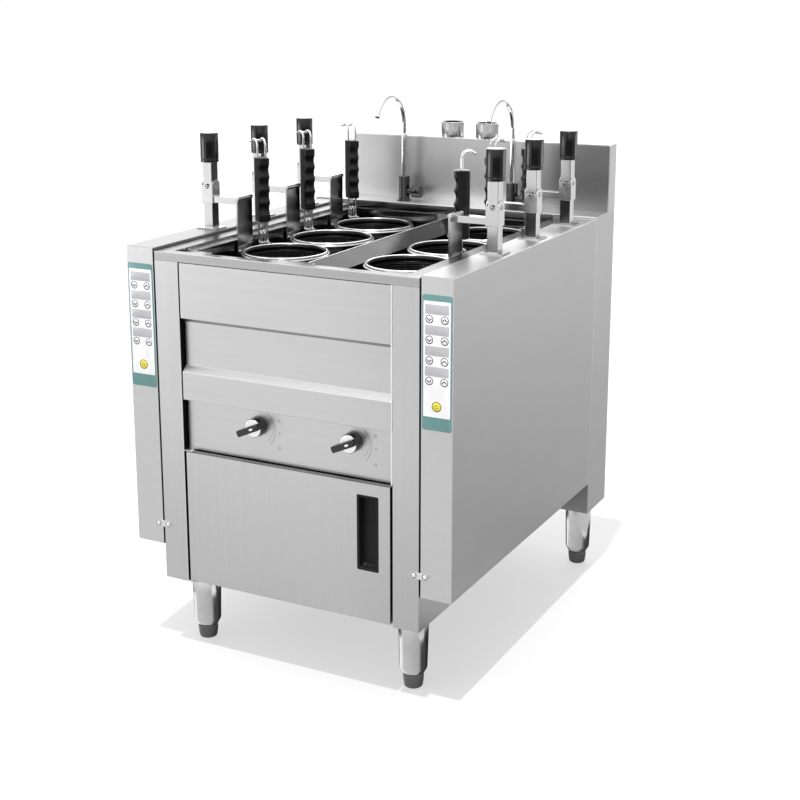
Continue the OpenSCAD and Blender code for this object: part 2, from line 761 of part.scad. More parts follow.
// Drain: a cross pipe under both tanks, a ball valve and a downward outlet
cross_drop = 114;
cross_z = tank_floor - cross_drop;
outlet_x = 215;
outlet_reach = 24;
outlet_low = body_h - outlet_reach;
valve_body_d = 44;
valve_body_h = 50;
valve_drop = 116;
valve_z = cross_z - valve_drop;
lever_stem_d = 10;
hose_end_d = 33;
module drain_pipe() color("silver") from_front() {
    sleeve = drain_d + 2 * drain_wall + 2 * slide_clear;
    difference() {
        union() {
            for (s = [LEFT, RIGHT]) translate([s * drain_x, drain_y, cross_z])
                cylinder(d = sleeve, h = tank_floor - cross_z - tank_wall - seat_gap);
            for (s = [LEFT, RIGHT]) translate([s * drain_x, drain_y, cross_z]) sphere(d = sleeve);
            translate([-drain_x, drain_y, cross_z]) rotate([0, 90, 0])
                cylinder(d = drain_d, h = drain_x + outlet_x);
            translate([outlet_x, drain_y, cross_z]) sphere(d = drain_d);
            translate([outlet_x, drain_y, outlet_low]) cylinder(d = drain_d, h = cross_z - outlet_low);
            translate([outlet_x, drain_y, outlet_low]) cylinder(d = hose_end_d, h = outlet_reach - cut);
            translate([outlet_x, drain_y, valve_z]) cylinder(d = valve_body_d, h = valve_body_h);
        }
        for (s = [LEFT, RIGHT]) translate([s * drain_x, drain_y, tank_floor - drain_stub - seat_gap])
            cylinder(d = drain_d + 2 * slide_clear, h = 2 * drain_stub);
        translate([outlet_x, drain_y, outlet_low - cut])
            cylinder(d = drain_d - 2 * drain_wall, h = valve_z - outlet_low);
        translate([outlet_x, drain_y - valve_body_d, valve_z + valve_body_h / 2]) rotate([-90, 0, 0])
            cylinder(d = lever_stem_d + 2 * run_clear, h = valve_body_d);
    }
}

// Handle of the drain valve: a stem and a flat lever
lever_l = 90;
lever_w = 18;
lever_t = 5;
lever_out = 12;
module drain_handle() color("firebrick") from_front()
    translate([outlet_x, drain_y, valve_z + valve_body_h / 2]) {
        translate([0, -valve_body_d / 2 - lever_out, 0]) rotate([-90, 0, 0])
            cylinder(d = lever_stem_d, h = valve_body_d / 2 + lever_out - seat_gap);
        translate([-lever_w / 2, -valve_body_d / 2 - lever_out - lever_t, -lever_l])
            cube([lever_w, lever_t, lever_l + lever_w / 2]);
    }

// Service fittings on the back: gas, water and the gland of the power cable
inlet_d = 21;
inlet_bore = 16;
module service_inlets() color("darkgoldenrod") from_front() {
    for (x = inlet_places()) translate([x, depth - 3 * sheet, inlet_z]) rotate([-90, 0, 0]) {
        pipe(inlet_d, inlet_bore, 3 * sheet + knob_h + bar_h - recess_d);
        pipe(inlet_hole + 6 * sheet, inlet_bore, 2 * sheet);
    }
}

// Door: a folded pan with its two pivot pins and the cut-out of the pull
pull_inset = 26;
pull_drop = 25;
pull_z = door_top - pull_drop - pull_h;
door_lip = 14;
module door() color("silver") from_front() {
    low = [-stile_x + door_side, 0, body_h + pivot_t + pivot_play];
    high = [stile_x - door_side, door_d, door_top];
    pull_x = high[0] - pull_inset - pull_w;
    difference() {
        block(low, high);
        block([low[0] + sheet, sheet, low[2] + sheet],
              [high[0] - sheet, door_d - sheet, high[2] - sheet]);
        block([low[0] + door_lip, door_d / 2, low[2] + door_lip],
              [high[0] - door_lip, door_d + cut, high[2] - door_lip]);
        block([pull_x, -cut, pull_z], [pull_x + pull_w, 2 * sheet, pull_z + pull_h]);
    }
    translate([-pivot_x, pivot_y, 0]) {
        translate([0, 0, low[2] - pivot_t - pivot_play / 2]) cylinder(d = pin_d, h = pin_grip);
        translate([0, 0, low[2]]) cylinder(d = pin_boss_d, h = pin_grip);
        translate([0, 0, high[2] - pin_grip]) cylinder(d = pin_boss_d, h = pin_grip);
        translate([0, 0, high[2] + pivot_t + pivot_play - pin_grip]) cylinder(d = pin_d, h = pin_grip);
    }
}
door_side = 5;
pin_grip = 8;
pin_boss_d = 11.5;

// Recessed pull: a black insert with a pocket that is undercut at one side
pull_wall = 2;
pull_flange = 3;
pull_proud = 0.8;
module door_pull() color("black") from_front() {
    pull_x = stile_x - door_side - pull_inset - pull_w;
    x0 = pull_x + slide_clear;
    x1 = pull_x + pull_w - slide_clear;
    z0 = pull_z + slide_clear;
    z1 = pull_z + pull_h - slide_clear;
    difference() {
        union() {
            block([x0, -pull_proud, z0], [x1, pull_d, z1]);
            block([x0 - pull_flange, -pull_proud, z0 - pull_flange],
                  [x1 + pull_flange, 0, z1 + pull_flange]);
        }
        block([x0 + pull_wall, -pull_proud - cut, z0 + pull_wall],
              [x1 - pull_wall, pull_d - pull_wall, z1 - pull_wall]);
    }
}

// Gas knob: spindle, skirt, face and the bar that points to the setting
bar_h = 12;
bar_w = 12.5;
bar_long = 31;
bar_short = 18.5;
bar_turn = 24;
knob_gap = 1;
module gas_knob(x) color("black") from_front()
    translate([x, recess_d, control_z + knob_rise]) rotate([90, 0, 0]) {
    translate([0, 0, -sheet - valve_gap - valve_l / 3])
        cylinder(d = spindle_d, h = sheet + valve_gap + valve_l / 3 + knob_gap + cut);
    translate([0, 0, knob_gap]) cylinder(d = knob_d, h = knob_h - knob_gap);
    rotate([0, 0, bar_turn]) translate([-bar_long, -bar_w / 2, knob_h - bar_h / 2])
        cube([bar_long + bar_short, bar_w, 3 * bar_h / 2]);
}

// Lift post: square tube with its push rod
post_wall = 2;
cap_socket = 20;
module post(s, i) color("gainsboro") from_front() translate([s * lift_x, lift_y(i), 0]) {
    tube_l = cap_z + cap_socket - seat_gap - post_low;
    difference() {
        translate([-post_w / 2, -post_w / 2, post_low]) cube([post_w, post_w, tube_l]);
        translate([-post_w / 2 + post_wall, -post_w / 2 + post_wall, post_low + post_wall])
            cube([post_w - 2 * post_wall, post_w - 2 * post_wall, tube_l]);
    }
    translate([0, 0, post_low - rod_l]) cylinder(d = rod_d, h = rod_l + post_wall / 2);
}

// Round cap that the head of a lift post is pushed into
module post_cap(s, i) color("black") from_front() translate([s * lift_x, lift_y(i), 0]) difference() {
    translate([0, 0, cap_z]) cylinder(d = cap_d, h = cap_h);
    translate([-post_w / 2 - slide_clear, -post_w / 2 - slide_clear, cap_z - cut])
        cube([post_w + 2 * slide_clear, post_w + 2 * slide_clear, cap_socket + cut]);
}

// Lift arm: clamp round the post, bar, hanger plate with a rolled top and the carrier ring
ring_stay = 20;
stay_d = 6;
roll_d = 9;
screw_rise = 36;
module arm(s, i) color("gainsboro") from_front() translate([0, lift_y(i), 0]) mirror([s < 0 ? 1 : 0, 0, 0]) {
    wide = post_w / 2 + slide_clear + bracket_wall;
    z = arm_z - arm_h / 2;
    low = z - bracket_wall;
    difference() {
        union() {
            for (x = [-wide, wide - bracket_wall]) translate([lift_x + x, 0, low])
                arched_plate(2 * wide, bracket_h, bracket_r);
            translate([lift_x - wide, -wide, low]) cube([2 * wide, 2 * wide, bracket_h - bracket_r]);
            translate([hanger_x, -arm_w / 2, z]) cube([lift_x - wide - hanger_x + cut, arm_w, arm_h]);
        }
        translate([lift_x, 0, low])
            cube([post_w + 2 * slide_clear, post_w + 2 * slide_clear, 4 * bracket_h], center = true);
    }
    translate([lift_x, -wide, low + screw_rise - bracket_wall]) rotate([90, 0, 0])
        cylinder(d = screw_head_d, h = screw_head_h);
    translate([lift_x + wide, 0, low + screw_rise - bracket_wall]) rotate([0, 90, 0])
        cylinder(d = screw_head_d, h = screw_head_h);
    translate([hanger_x - hanger_t / 2, -hanger_w / 2, worktop_h - hanger_low])
        cube([hanger_t, hanger_w, hanger_low + arm_rise + arm_h / 2]);
    translate([hanger_x, hanger_w / 2, arm_z + arm_h / 2]) rotate([90, 0, 0])
        cylinder(d = roll_d, h = hanger_w);
    translate([basket_x, 0, ring_z]) {
        rotate_extrude() translate([ring_r, 0]) circle(d = rim_wire);
        start = sqrt(ring_r * ring_r - ring_stay * ring_stay);
        for (k = [-1, 1]) translate([start, k * ring_stay, 0]) rotate([0, 90, 0])
            cylinder(d = stay_d, h = hanger_x - basket_x - start);
    }
}

// Stands a shape on the axis of a basket, with +X towards its handle
module at_basket(s, i) {
    translate([s * basket_x, lift_y(i), 0]) mirror([s < 0 ? 1 : 0, 0, 0])
        rotate([0, 0, handle_turns[s < 0 ? 0 : 1][i]]) children();
}

// Basket: cup, rim wire and the handle, two wires that run through the grip to the hook
cup_corner = 14;
stay_rise = 3;
hook_r = 13;
hook_rise = 22;
hook_turn = 140;
small_hook_r = 4;
small_hook_gap = 7;
bead_share = 1.25;
small_hook_rise = 18;
module basket(s, i) color("silver") from_front()
    at_basket(s, i) {
        translate([0, 0, rim_z - basket_h]) rotate_extrude() difference() {
            cup_outline(0);
            translate([0, basket_wall]) cup_outline(basket_wall);
        }
        translate([0, 0, rim_z]) rotate_extrude() translate([rim_r, 0]) circle(d = rim_wire);
        stay_z = rim_z + stay_rise;
        hook_z = worktop_h + grip_rise + grip_l + hook_rise;
        for (k = [-1, 1]) translate([0, k * handle_gap / 2, 0]) {
            translate([rim_r - cut, 0, stay_z]) rotate([0, 90, 0])
                cylinder(d = handle_wire, h = handle_r - rim_r + cut);
            translate([handle_r, 0, stay_z]) sphere(d = bead_share * handle_wire);
            translate([handle_r, 0, stay_z]) cylinder(d = handle_wire, h = hook_z - stay_z);
            translate([handle_r + hook_r, 0, hook_z]) mirror([1, 0, 0])
                wire_arc(hook_r, handle_wire, hook_turn);
        }
        translate([handle_r, 0, stay_z]) rotate([90, 0, 0])
            cylinder(d = handle_wire / bead_share, h = handle_gap, center = true);
        for (k = [-1, 1]) translate([handle_r, k * small_hook_gap / 2, 0]) {
            translate([0, 0, stay_z]) cylinder(d = handle_wire, h = small_hook_rise);
            translate([small_hook_r, 0, stay_z + small_hook_rise]) mirror([1, 0, 0])
                wire_arc(small_hook_r, handle_wire, 180);
            translate([2 * small_hook_r, 0, stay_z + small_hook_rise / 2])
                cylinder(d = handle_wire, h = small_hook_rise / 2);
        }
        translate([handle_r + hook_r, 0, hook_z]) rotate([0, hook_turn - 180, 0])
            translate([hook_r, 0, 0]) rotate([90, 0, 0])
                cylinder(d = bead_share * handle_wire, h = handle_gap + 2 * handle_wire, center = true);
    }

// Half outline of a cup with a rounded lower corner, drawn in by an inset
module cup_outline(inset) {
    r = rim_r - rim_wire / 2 + basket_wall / 2 - inset;
    corner = cup_corner - inset;
    square([r - corner, basket_h + rim_wire / 4]);
    translate([0, corner]) square([r, basket_h + rim_wire / 4 - corner]);
    translate([r - corner, corner]) circle(r = corner);
}

// Grip: a block with finger hollows towards the basket and two bores for the wires
hollow_count = 4;
hollow_depth = 4;
hollow_d = 34;
module grip(s, i) color([0.1, 0.1, 0.1]) from_front()
    at_basket(s, i) translate([handle_r, 0, worktop_h + grip_rise]) difference() {
        translate([-grip_d / 2, -grip_w / 2, 0]) cube([grip_d, grip_w, grip_l]);
        step = grip_l / (hollow_count + 1);
        for (n = [1 : hollow_count]) translate([-grip_d / 2 + hollow_depth - hollow_d / 2, 0, n * step])
            rotate([90, 0, 0]) cylinder(d = hollow_d, h = 2 * grip_w, center = true);
        for (k = [-1, 1]) translate([0, k * handle_gap / 2, -cut])
            cylinder(d = handle_wire + 2 * run_clear, h = grip_l + 2 * cut);
    }

carcass();
worktop();
tanks();
divider_cap();
front_panel();
control_panel();
side_boxes();
rear_duct();
splashback();
legs();
feet();
membranes();
latch_plates();
screws();
tap_bodies();
lift_drives();
post_guides();
burners();
gas_line();
drain_pipe();
service_inlets();
door();
door_pull();
gas_knob(knob_places()[0]);  // knob_left
gas_knob(knob_places()[1]);  // knob_right
spout(LEFT);  // spout_left
spout(RIGHT);  // spout_right
tap_handle(LEFT);  // tap_handle_left
tap_handle(RIGHT);  // tap_handle_right
drain_handle();
post(LEFT, 0);  // post_left_front
post(LEFT, 1);  // post_left_middle
post(LEFT, 2);  // post_left_rear
post(RIGHT, 0);  // post_right_front
post(RIGHT, 1);  // post_right_middle
post(RIGHT, 2);  // post_right_rear
post_cap(LEFT, 0);  // cap_left_front
post_cap(LEFT, 1);  // cap_left_middle
post_cap(LEFT, 2);  // cap_left_rear
post_cap(RIGHT, 0);  // cap_right_front
post_cap(RIGHT, 1);  // cap_right_middle
post_cap(RIGHT, 2);  // cap_right_rear
arm(LEFT, 0);  // arm_left_front
arm(LEFT, 1);  // arm_left_middle
arm(LEFT, 2);  // arm_left_rear
arm(RIGHT, 0);  // arm_right_front
arm(RIGHT, 1);  // arm_right_middle
arm(RIGHT, 2);  // arm_right_rear
basket(LEFT, 0);  // basket_left_front
basket(LEFT, 1);  // basket_left_middle
basket(LEFT, 2);  // basket_left_rear
basket(RIGHT, 0);  // basket_right_front
basket(RIGHT, 1);  // basket_right_middle
basket(RIGHT, 2);  // basket_right_rear
grip(LEFT, 0);  // grip_left_front
grip(LEFT, 1);  // grip_left_middle
grip(LEFT, 2);  // grip_left_rear
grip(RIGHT, 0);  // grip_right_front
grip(RIGHT, 1);  // grip_right_middle
grip(RIGHT, 2);  // grip_right_rear
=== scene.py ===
"""Pasta cooker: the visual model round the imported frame.

Sizes are millimetres, and Y is measured from the front face, as in the part's source. Bench.piece
turns them into metres in the frame. Each sub-assembly is a class with its sizes as fields, each
finish is a small frozen dataclass, and main() builds them in order.
"""

import json
import logging
import math
from dataclasses import dataclass
from enum import Enum
from typing import Any, Callable, Optional, Sequence, Union

import bmesh
import bpy
import numpy as np
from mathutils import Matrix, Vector


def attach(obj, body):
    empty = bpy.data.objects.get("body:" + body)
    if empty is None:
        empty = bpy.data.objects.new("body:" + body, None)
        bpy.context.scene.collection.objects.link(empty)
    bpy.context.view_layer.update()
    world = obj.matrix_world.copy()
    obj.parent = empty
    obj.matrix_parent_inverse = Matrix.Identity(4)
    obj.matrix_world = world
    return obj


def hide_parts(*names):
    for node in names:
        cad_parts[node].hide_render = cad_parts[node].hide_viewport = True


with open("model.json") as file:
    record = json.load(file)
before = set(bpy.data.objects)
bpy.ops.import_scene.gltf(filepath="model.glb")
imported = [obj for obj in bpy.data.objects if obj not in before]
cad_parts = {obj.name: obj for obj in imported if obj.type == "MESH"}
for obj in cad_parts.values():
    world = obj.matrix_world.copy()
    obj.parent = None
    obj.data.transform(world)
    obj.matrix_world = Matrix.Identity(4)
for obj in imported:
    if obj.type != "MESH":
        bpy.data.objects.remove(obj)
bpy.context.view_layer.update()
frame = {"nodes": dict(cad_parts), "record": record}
log = logging.getLogger("pasta_cooker")

MM = 0.001
ORIGIN = (0.0, 405.0, 0.0)   # the frame's zero, in millimetres from the middle of the front face
FULL = 2 * math.pi
HUB = 0.1                    # radius at which a turned profile closes round its axis


# ------------------------------------------------------------------ shader expressions
class Signal:
    """A shader socket that can stand in an expression on values."""

    def __init__(self, shader: "Shader", socket: bpy.types.NodeSocket) -> None:
        """Keeps the tree and the socket."""
        self.shader, self.socket = shader, socket

    def _math(self, operation: str, left: Any, right: Any) -> "Signal":
        """Adds one Math node and returns its value."""
        return self.shader.maths(operation, left, right)

    def __add__(self, other: Any) -> "Signal":
        """Sum."""
        return self._math("ADD", self, other)

    def __radd__(self, other: Any) -> "Signal":
        """Sum, number first."""
        return self._math("ADD", other, self)

    def __sub__(self, other: Any) -> "Signal":
        """Difference."""
        return self._math("SUBTRACT", self, other)

    def __rsub__(self, other: Any) -> "Signal":
        """Difference, number first."""
        return self._math("SUBTRACT", other, self)

    def __mul__(self, other: Any) -> "Signal":
        """Product."""
        return self._math("MULTIPLY", self, other)

    def __rmul__(self, other: Any) -> "Signal":
        """Product, number first."""
        return self._math("MULTIPLY", other, self)

    def __truediv__(self, other: Any) -> "Signal":
        """Quotient."""
        return self._math("DIVIDE", self, other)


class Shader:
    """A node tree that is written as expressions."""

    def __init__(self, tree: bpy.types.NodeTree) -> None:
        """Empties the tree.

        Args:
            tree: the node tree of a material or of the world.
        """
        self.tree = tree
        tree.nodes.clear()

    def node(self, kind: str, settings: Optional[dict] = None, sockets: Optional[dict] = None,
             output: Union[int, str] = 0) -> Signal:
        """Adds a node.

        Args:
            kind: the node's type.
            settings: its properties, set first; "stops" holds a ramp's (place, colour) pairs.
            sockets: value or Signal per input, by name or number.
            output: which output is returned.

        Returns:
            The output as a Signal.
        """
        made = self.tree.nodes.new(kind)
        for key, value in (settings or {}).items():
            if key == "stops":
                ramp = made.color_ramp
                while len(ramp.elements) < len(value):
                    ramp.elements.new(1.0)
                for element, (place, colour) in zip(ramp.elements, value):
                    element.position = place
                    element.color = colour
            else:
                setattr(made, key, value)
        for key, value in (sockets or {}).items():
            if isinstance(value, Signal):
                self.tree.links.new(value.socket, made.inputs[key])
            else:
                made.inputs[key].default_value = value
        return Signal(self, made.outputs[output])

    def end(self, kind: str, surface: Signal) -> None:
        """Joins a surface to a new output node.

        Args:
            kind: the output node's type.
            surface: the shader that goes into Surface.
        """
        out = self.tree.nodes.new(kind)
        self.tree.links.new(surface.socket, out.inputs["Surface"])

    def maths(self, operation: str, *values: Any) -> Signal:
        """A Math node on one, two or three values."""
        return self.node("ShaderNodeMath", {"operation": operation}, dict(enumerate(values)))

    def coords(self, output: str = "Object") -> Signal:
        """Texture coordinates."""
        return self.node("ShaderNodeTexCoord", output=output)

    def part(self, vector: Signal, axis: str) -> Signal:
        """One of a vector's three values."""
        return self.node("ShaderNodeSeparateXYZ", {}, {0: vector}, axis)

    def axes(self) -> list:
        """Object coordinates as three values."""
        coords = self.coords()
        return [self.part(coords, axis) for axis in "XYZ"]

    def length(self, vector: Signal) -> Signal:
        """How long a vector is."""
        return self.node("ShaderNodeVectorMath", {"operation": "LENGTH"}, {0: vector}, "Value")

    def place(self, scale: Sequence[float] = (1, 1, 1)) -> Signal:
        """Object coordinates, stretched by a scale per axis."""
        return self.node("ShaderNodeMapping", {}, {"Vector": self.coords(), "Scale": tuple(scale)})

    def noise(self, place: Signal, scale: float, detail: float = 3.0, roughness: float = 0.5) -> Signal:
        """Noise between 0 and 1 at a place."""
        return self.node("ShaderNodeTexNoise", {}, {
            "Vector": place, "Scale": scale, "Detail": detail, "Roughness": roughness})

    def span(self, value: Signal, low: float, high: float, to_low: float = 0.0,
             to_high: float = 1.0) -> Signal:
        """Maps low to high smoothly onto to_low to to_high."""
        return self.node("ShaderNodeMapRange", {"interpolation_type": "SMOOTHSTEP"}, {
            "Value": value, "From Min": low, "From Max": high, "To Min": to_low, "To Max": to_high})

    def mix(self, share: Any, first: Any, second: Any) -> Signal:
        """Mixes two colours by a share."""
        return self.node("ShaderNodeMix", {"data_type": "RGBA"}, {0: share, 6: first, 7: second}, 2)

    def scaled(self, tone: Any, share: Signal) -> Signal:
        """A colour, or three plain values, times a value."""
        return self.node("ShaderNodeVectorMath", {"operation": "SCALE"}, {0: tone, "Scale": share})

    def bump(self, height: Signal, strength: float, distance: float) -> Signal:
        """A Bump node on a height."""
        return self.node("ShaderNodeBump", {}, {
            "Height": height, "Strength": strength, "Distance": distance}, "Normal")


def rgb(tone: Sequence[float], share: float = 1.0) -> tuple:
    """A colour with its alpha, made lighter or darker by a share."""
    return tuple(min(1.0, max(0.0, c * share)) for c in tone[:3]) + (1.0,)


def grey(value: float) -> tuple:
    """A tone without colour."""
    return (value, value, value)


def above(low: float) -> tuple:
    """A range that is open upwards."""
    return (low, None)


def below(high: float) -> tuple:
    """A range that is open downwards."""
    return (None, high)


class Axis(Enum):
    """An axis of the frame."""

    X = 0
    Y = 1
    Z = 2


@dataclass(frozen=True)
class Fade:
    """A tone that changes smoothly along one axis, in millimetres from the front face.

    It paints light and shade as a gradient. With a period above zero it repeats.
    """

    axis: Axis
    start: float
    end: float
    first: float
    last: float
    period: float = 0.0

    def factor(self, shader: Shader, axes: Sequence[Signal]) -> Signal:
        """The factor on the tone, from first to last.

        Args:
            shader: the material's tree.
            axes: object coordinates as three values.

        Returns:
            The factor on the tone.
        """
        value, zero = axes[self.axis.value], ORIGIN[self.axis.value]
        start, end = (self.start - zero) * MM, (self.end - zero) * MM
        if self.period:
            value = shader.maths("WRAP", value, start + self.period * MM, start)
        return shader.span(value, start, end, self.first, self.last)


@dataclass(frozen=True)
class Zone:
    """A box, in millimetres from the front face, in which a sheet looks lighter or darker.

    Painted highlights on folds and hems, and painted shade on sheets in the shade of others, are
    put on this way. Each axis has a (low, high) range in which None leaves an end open, mirrored
    counts X on both sides of the middle, and the share may be a fade.
    """

    share: Union[float, Fade]
    x: tuple = (None, None)
    y: tuple = (None, None)
    z: tuple = (None, None)
    mirrored: bool = False

    def factor(self, shader: Shader, axes: Sequence[Signal]) -> Signal:
        """The share inside the box and one outside.

        Args:
            shader: the material's tree.
            axes: object coordinates as three values.

        Returns:
            The factor on the tone.
        """
        inside = None
        across = shader.maths("ABSOLUTE", axes[0]) if self.mirrored else axes[0]
        for value, limits, zero in zip([across, *axes[1:]], (self.x, self.y, self.z), ORIGIN):
            for bound, operation in zip(limits, ("GREATER_THAN", "LESS_THAN")):
                if bound is not None:
                    within = shader.maths(operation, value, (bound - zero) * MM)
                    inside = within if inside is None else inside * within
        share = self.share.factor(shader, axes) if isinstance(self.share, Fade) else self.share
        return 1.0 + inside * (share - 1.0)


class Grain(Enum):
    """Direction in which a sheet was brushed: how close the scratches lie along each axis."""

    ALONG_X = (5.0, 700.0, 700.0)
    ALONG_Y = (700.0, 5.0, 700.0)
    ALONG_Z = (700.0, 700.0, 5.0)
    NONE = (60.0, 60.0, 60.0)


@dataclass(frozen=True)
class Finish:
    """A named surface finish. Subclasses add the nodes in dress()."""

    name: str
    tone: tuple
    roughness: float

    def dress(self, shader: Shader) -> dict:
        """Gives the sockets of the surface shader.

        Args:
            shader: the material's tree.

        Returns:
            Value or Signal per socket of the Principled node.
        """
        raise NotImplementedError

    def material(self) -> bpy.types.Material:
        """Makes the material at the first call and finds it afterwards.

        Returns:
            The material with this finish's name.
        """
        known = bpy.data.materials.get(self.name)
        if known is not None:
            return known
        made = bpy.data.materials.new(self.name)
        made.use_nodes = True
        shader = Shader(made.node_tree)
        surface = shader.node("ShaderNodeBsdfPrincipled", {}, self.dress(shader))
        shader.end("ShaderNodeOutputMaterial", surface)
        made.diffuse_color = rgb(self.tone)
        return made


@dataclass(frozen=True)
class Steel(Finish):
    """Brushed sheet metal: fine scratches, broader bands of them and cloudy handling marks."""

    grain: Grain = Grain.ALONG_X
    scratch: float = 0.03
    cloud: float = 0.05
    # zones and fades that paint light and shade into the tone
    painted_shading: tuple = ()

    def dress(self, shader: Shader) -> dict:
        """Scratches move tone and roughness, a faint bump follows them, and zones paint light and shade
        into the tone.
        """
        fine = shader.noise(shader.place(self.grain.value), 1.0, 4.0, 0.7)
        broad = shader.noise(shader.place([0.12 * v for v in self.grain.value]), 1.0, 2.0)
        cloud = shader.noise(shader.place(), 9.0, 4.0, 0.6)
        share = shader.span(fine * 0.65 + broad * 0.35, 0.3, 0.7)
        tone = shader.mix(share, rgb(self.tone, 1 - self.scratch), rgb(self.tone, 1 + self.scratch))
        tone = shader.mix(shader.span(cloud, 0.4, 0.8, 0.0, 0.5), tone, rgb(self.tone, 0.97))
        axes = shader.axes() if self.painted_shading else []
        for shade in self.painted_shading:
            tone = shader.scaled(tone, shade.factor(shader, axes))
        return {
            "Base Color": tone, "Metallic": 1.0,
            "Roughness": self.roughness + (fine - 0.5) * 0.12 + (cloud - 0.5) * self.cloud,
            "Normal": shader.bump(fine, 0.05, 0.0002),
        }


@dataclass(frozen=True)
class Polish(Finish):
    """Polished or electroplated metal: clear, with faint haze, wipe marks and a slow waviness."""

    wave: float = 0.05

    def dress(self, shader: Shader) -> dict:
        """Haze moves tone and roughness, and a long slow bump bends the reflections."""
        haze = shader.noise(shader.place(), 26.0, 4.0, 0.6)
        wipe = shader.noise(shader.place((90.0, 90.0, 14.0)), 1.0, 3.0)
        slow = shader.noise(shader.place(), 7.0, 1.0)
        tone = shader.mix(shader.span(haze, 0.35, 0.75), rgb(self.tone, 1.03), rgb(self.tone, 0.93))
        return {
            "Base Color": tone, "Metallic": 1.0,
            "Roughness": self.roughness + haze * 0.05 + (wipe - 0.5) * 0.04,
            "Normal": shader.bump(slow + wipe * 0.02, self.wave, 0.01),
        }


@dataclass(frozen=True)
class Moulded(Finish):
    """Moulded or painted surface: fine pebble grain, flecks and dull rubbed places."""

    pebble: float = 500.0
    depth: float = 0.12
    coat: float = 0.0
    shine: float = 0.5

    def dress(self, shader: Shader) -> dict:
        """Pebble feeds the bump, and flecks and rubbing move tone and roughness."""
        pebble = shader.noise(shader.place(), self.pebble, 2.0)
        rubbed = shader.noise(shader.place(), 14.0, 4.0, 0.6)
        share = shader.span(pebble * 0.5 + rubbed * 0.5, 0.35, 0.65)
        return {
            "Base Color": shader.mix(share, rgb(self.tone, 0.90), rgb(self.tone, 1.10)),
            "Roughness": self.roughness + (rubbed - 0.5) * 0.16,
            "Coat Weight": self.coat, "Specular IOR Level": self.shine,
            "Normal": shader.bump(pebble, self.depth, 0.0003),
        }


@dataclass(frozen=True)
class Scaled(Finish):
    """Heat-stained metal: dark scale with lighter rubbed spots and a rough skin."""

    stain: tuple = (0.2, 0.12, 0.07)

    def dress(self, shader: Shader) -> dict:
        """Two noises choose between scale, stain and bare metal."""
        lumps = shader.noise(shader.place(), 60.0, 6.0, 0.7)
        patch = shader.noise(shader.place(), 11.0, 5.0, 0.6)
        tone = shader.mix(shader.span(patch, 0.35, 0.7, 0.0, 0.8), rgb(self.tone), rgb(self.stain))
        rubbed = shader.span(lumps, 0.45, 0.75, 0.0, 0.6)
        return {
            "Base Color": shader.mix(rubbed, tone, rgb(self.tone, 1.8)),
            "Metallic": shader.span(lumps, 0.4, 0.7, 0.4, 0.9),
            "Roughness": self.roughness + (lumps - 0.5) * 0.3,
            "Normal": shader.bump(lumps, 0.35, 0.001),
        }


# Places at which the finishes paint light and shade onto parts of one sheet, in millimetres
OUTSIDE_X = 337.9            # just under the outer faces of side boxes and duct
BOX_X = 275.0                # inner edge of a side box
BASE_Z = 212.0               # upper edge of what the side boxes leave free below
FOLD_Y = 1.6                 # the fold at the front edge of a side box ends here
FOLD_Z = 793.0               # the fold at its upper edge starts here
BOX_TOP_Z = 794.6            # upper face of a side box
DECK_Z = 797.0               # the duct's deck and the fold round it
SPLASH_Y = 772.4             # just behind the splashback's front face
POST_X = (297.0, 320.0)      # width of the lift posts on the right
POST_FOOT_Z = 800.0
HANGER_X = 230.0
HANGER_HALF = 2.2
FIRST_LIFT, LIFT_PITCH = 236.0, 182.0
LIFT_FACE = 10.2             # from a lift's middle to the front face of its post

# Painted shade: front sheets darker towards the bottom and towards the right
LOW_PAINTED_SHADE = Fade(Axis.Z, 180, 560, 0.84, 1.0)
RIGHT_PAINTED_SHADE = Fade(Axis.X, 60, BOX_X, 1.0, 0.93)
PANEL = Steel("panel steel", grey(0.60), 0.34, Grain.ALONG_X, painted_shading=(
    LOW_PAINTED_SHADE,
    Zone(1.45, x=(-220.5, -218.8), y=below(14.0), z=above(411.0)),   # painted highlight on the left edge
    Zone(0.62, y=(0.8, 12.6), z=(660.0, 668.6)),                     # painted shade on the bevel that leans inwards
    RIGHT_PAINTED_SHADE,
    Zone(0.92, y=(0.8, 13.0), z=(564.3, 577.3)),                     # painted shade on the bevel that leans outwards
))
PANEL_UPRIGHT = Steel("panel steel upright", grey(0.60), 0.34, Grain.ALONG_Z, painted_shading=(
    LOW_PAINTED_SHADE, RIGHT_PAINTED_SHADE,
    Zone(0.95, x=above(274.4), z=below(BASE_Z), mirrored=True),      # painted shade on the ends of the base channel, under the side boxes
    Zone(1.4, x=(-224.0, -222.8), y=below(1.0)),                     # painted highlight on the edge of the left stile
))
SIDE = Steel("side cover steel", grey(0.50), 0.36, Grain.ALONG_Y, painted_shading=(
    Zone(1.12, y=below(0.8), z=below(700.0)),                        # painted light on the front faces, lower part
    Zone(1.25, y=below(0.8), z=(700.0, 794.0)),                      # and more painted light on the upper part
    # painted light on the right box's top, brighter towards the back, and painted shade on the left
    # box's top
    Zone(Fade(Axis.Y, 0, 465, 0.64, 1.5), x=above(BOX_X), z=above(BOX_TOP_Z)),
    Zone(Fade(Axis.Y, 0, 605, 0.45, 0.40), x=below(-BOX_X), z=above(BOX_TOP_Z)),
    # painted shade on the right outer face, darker towards the bottom
    Zone(Fade(Axis.Z, 210, 790, 0.78, 0.93), x=above(OUTSIDE_X), y=above(FOLD_Y), z=below(FOLD_Z)),
    Zone(0.72, x=above(338.0), y=above(695.6), mirrored=True),       # painted shade along the hem at the duct
    Zone(1.45, x=above(OUTSIDE_X), z=above(FOLD_Z), mirrored=True),  # painted highlight on the fold along the top
    Zone(1.35, x=above(OUTSIDE_X), y=below(FOLD_Y), mirrored=True),  # painted highlight on the fold along the front
))
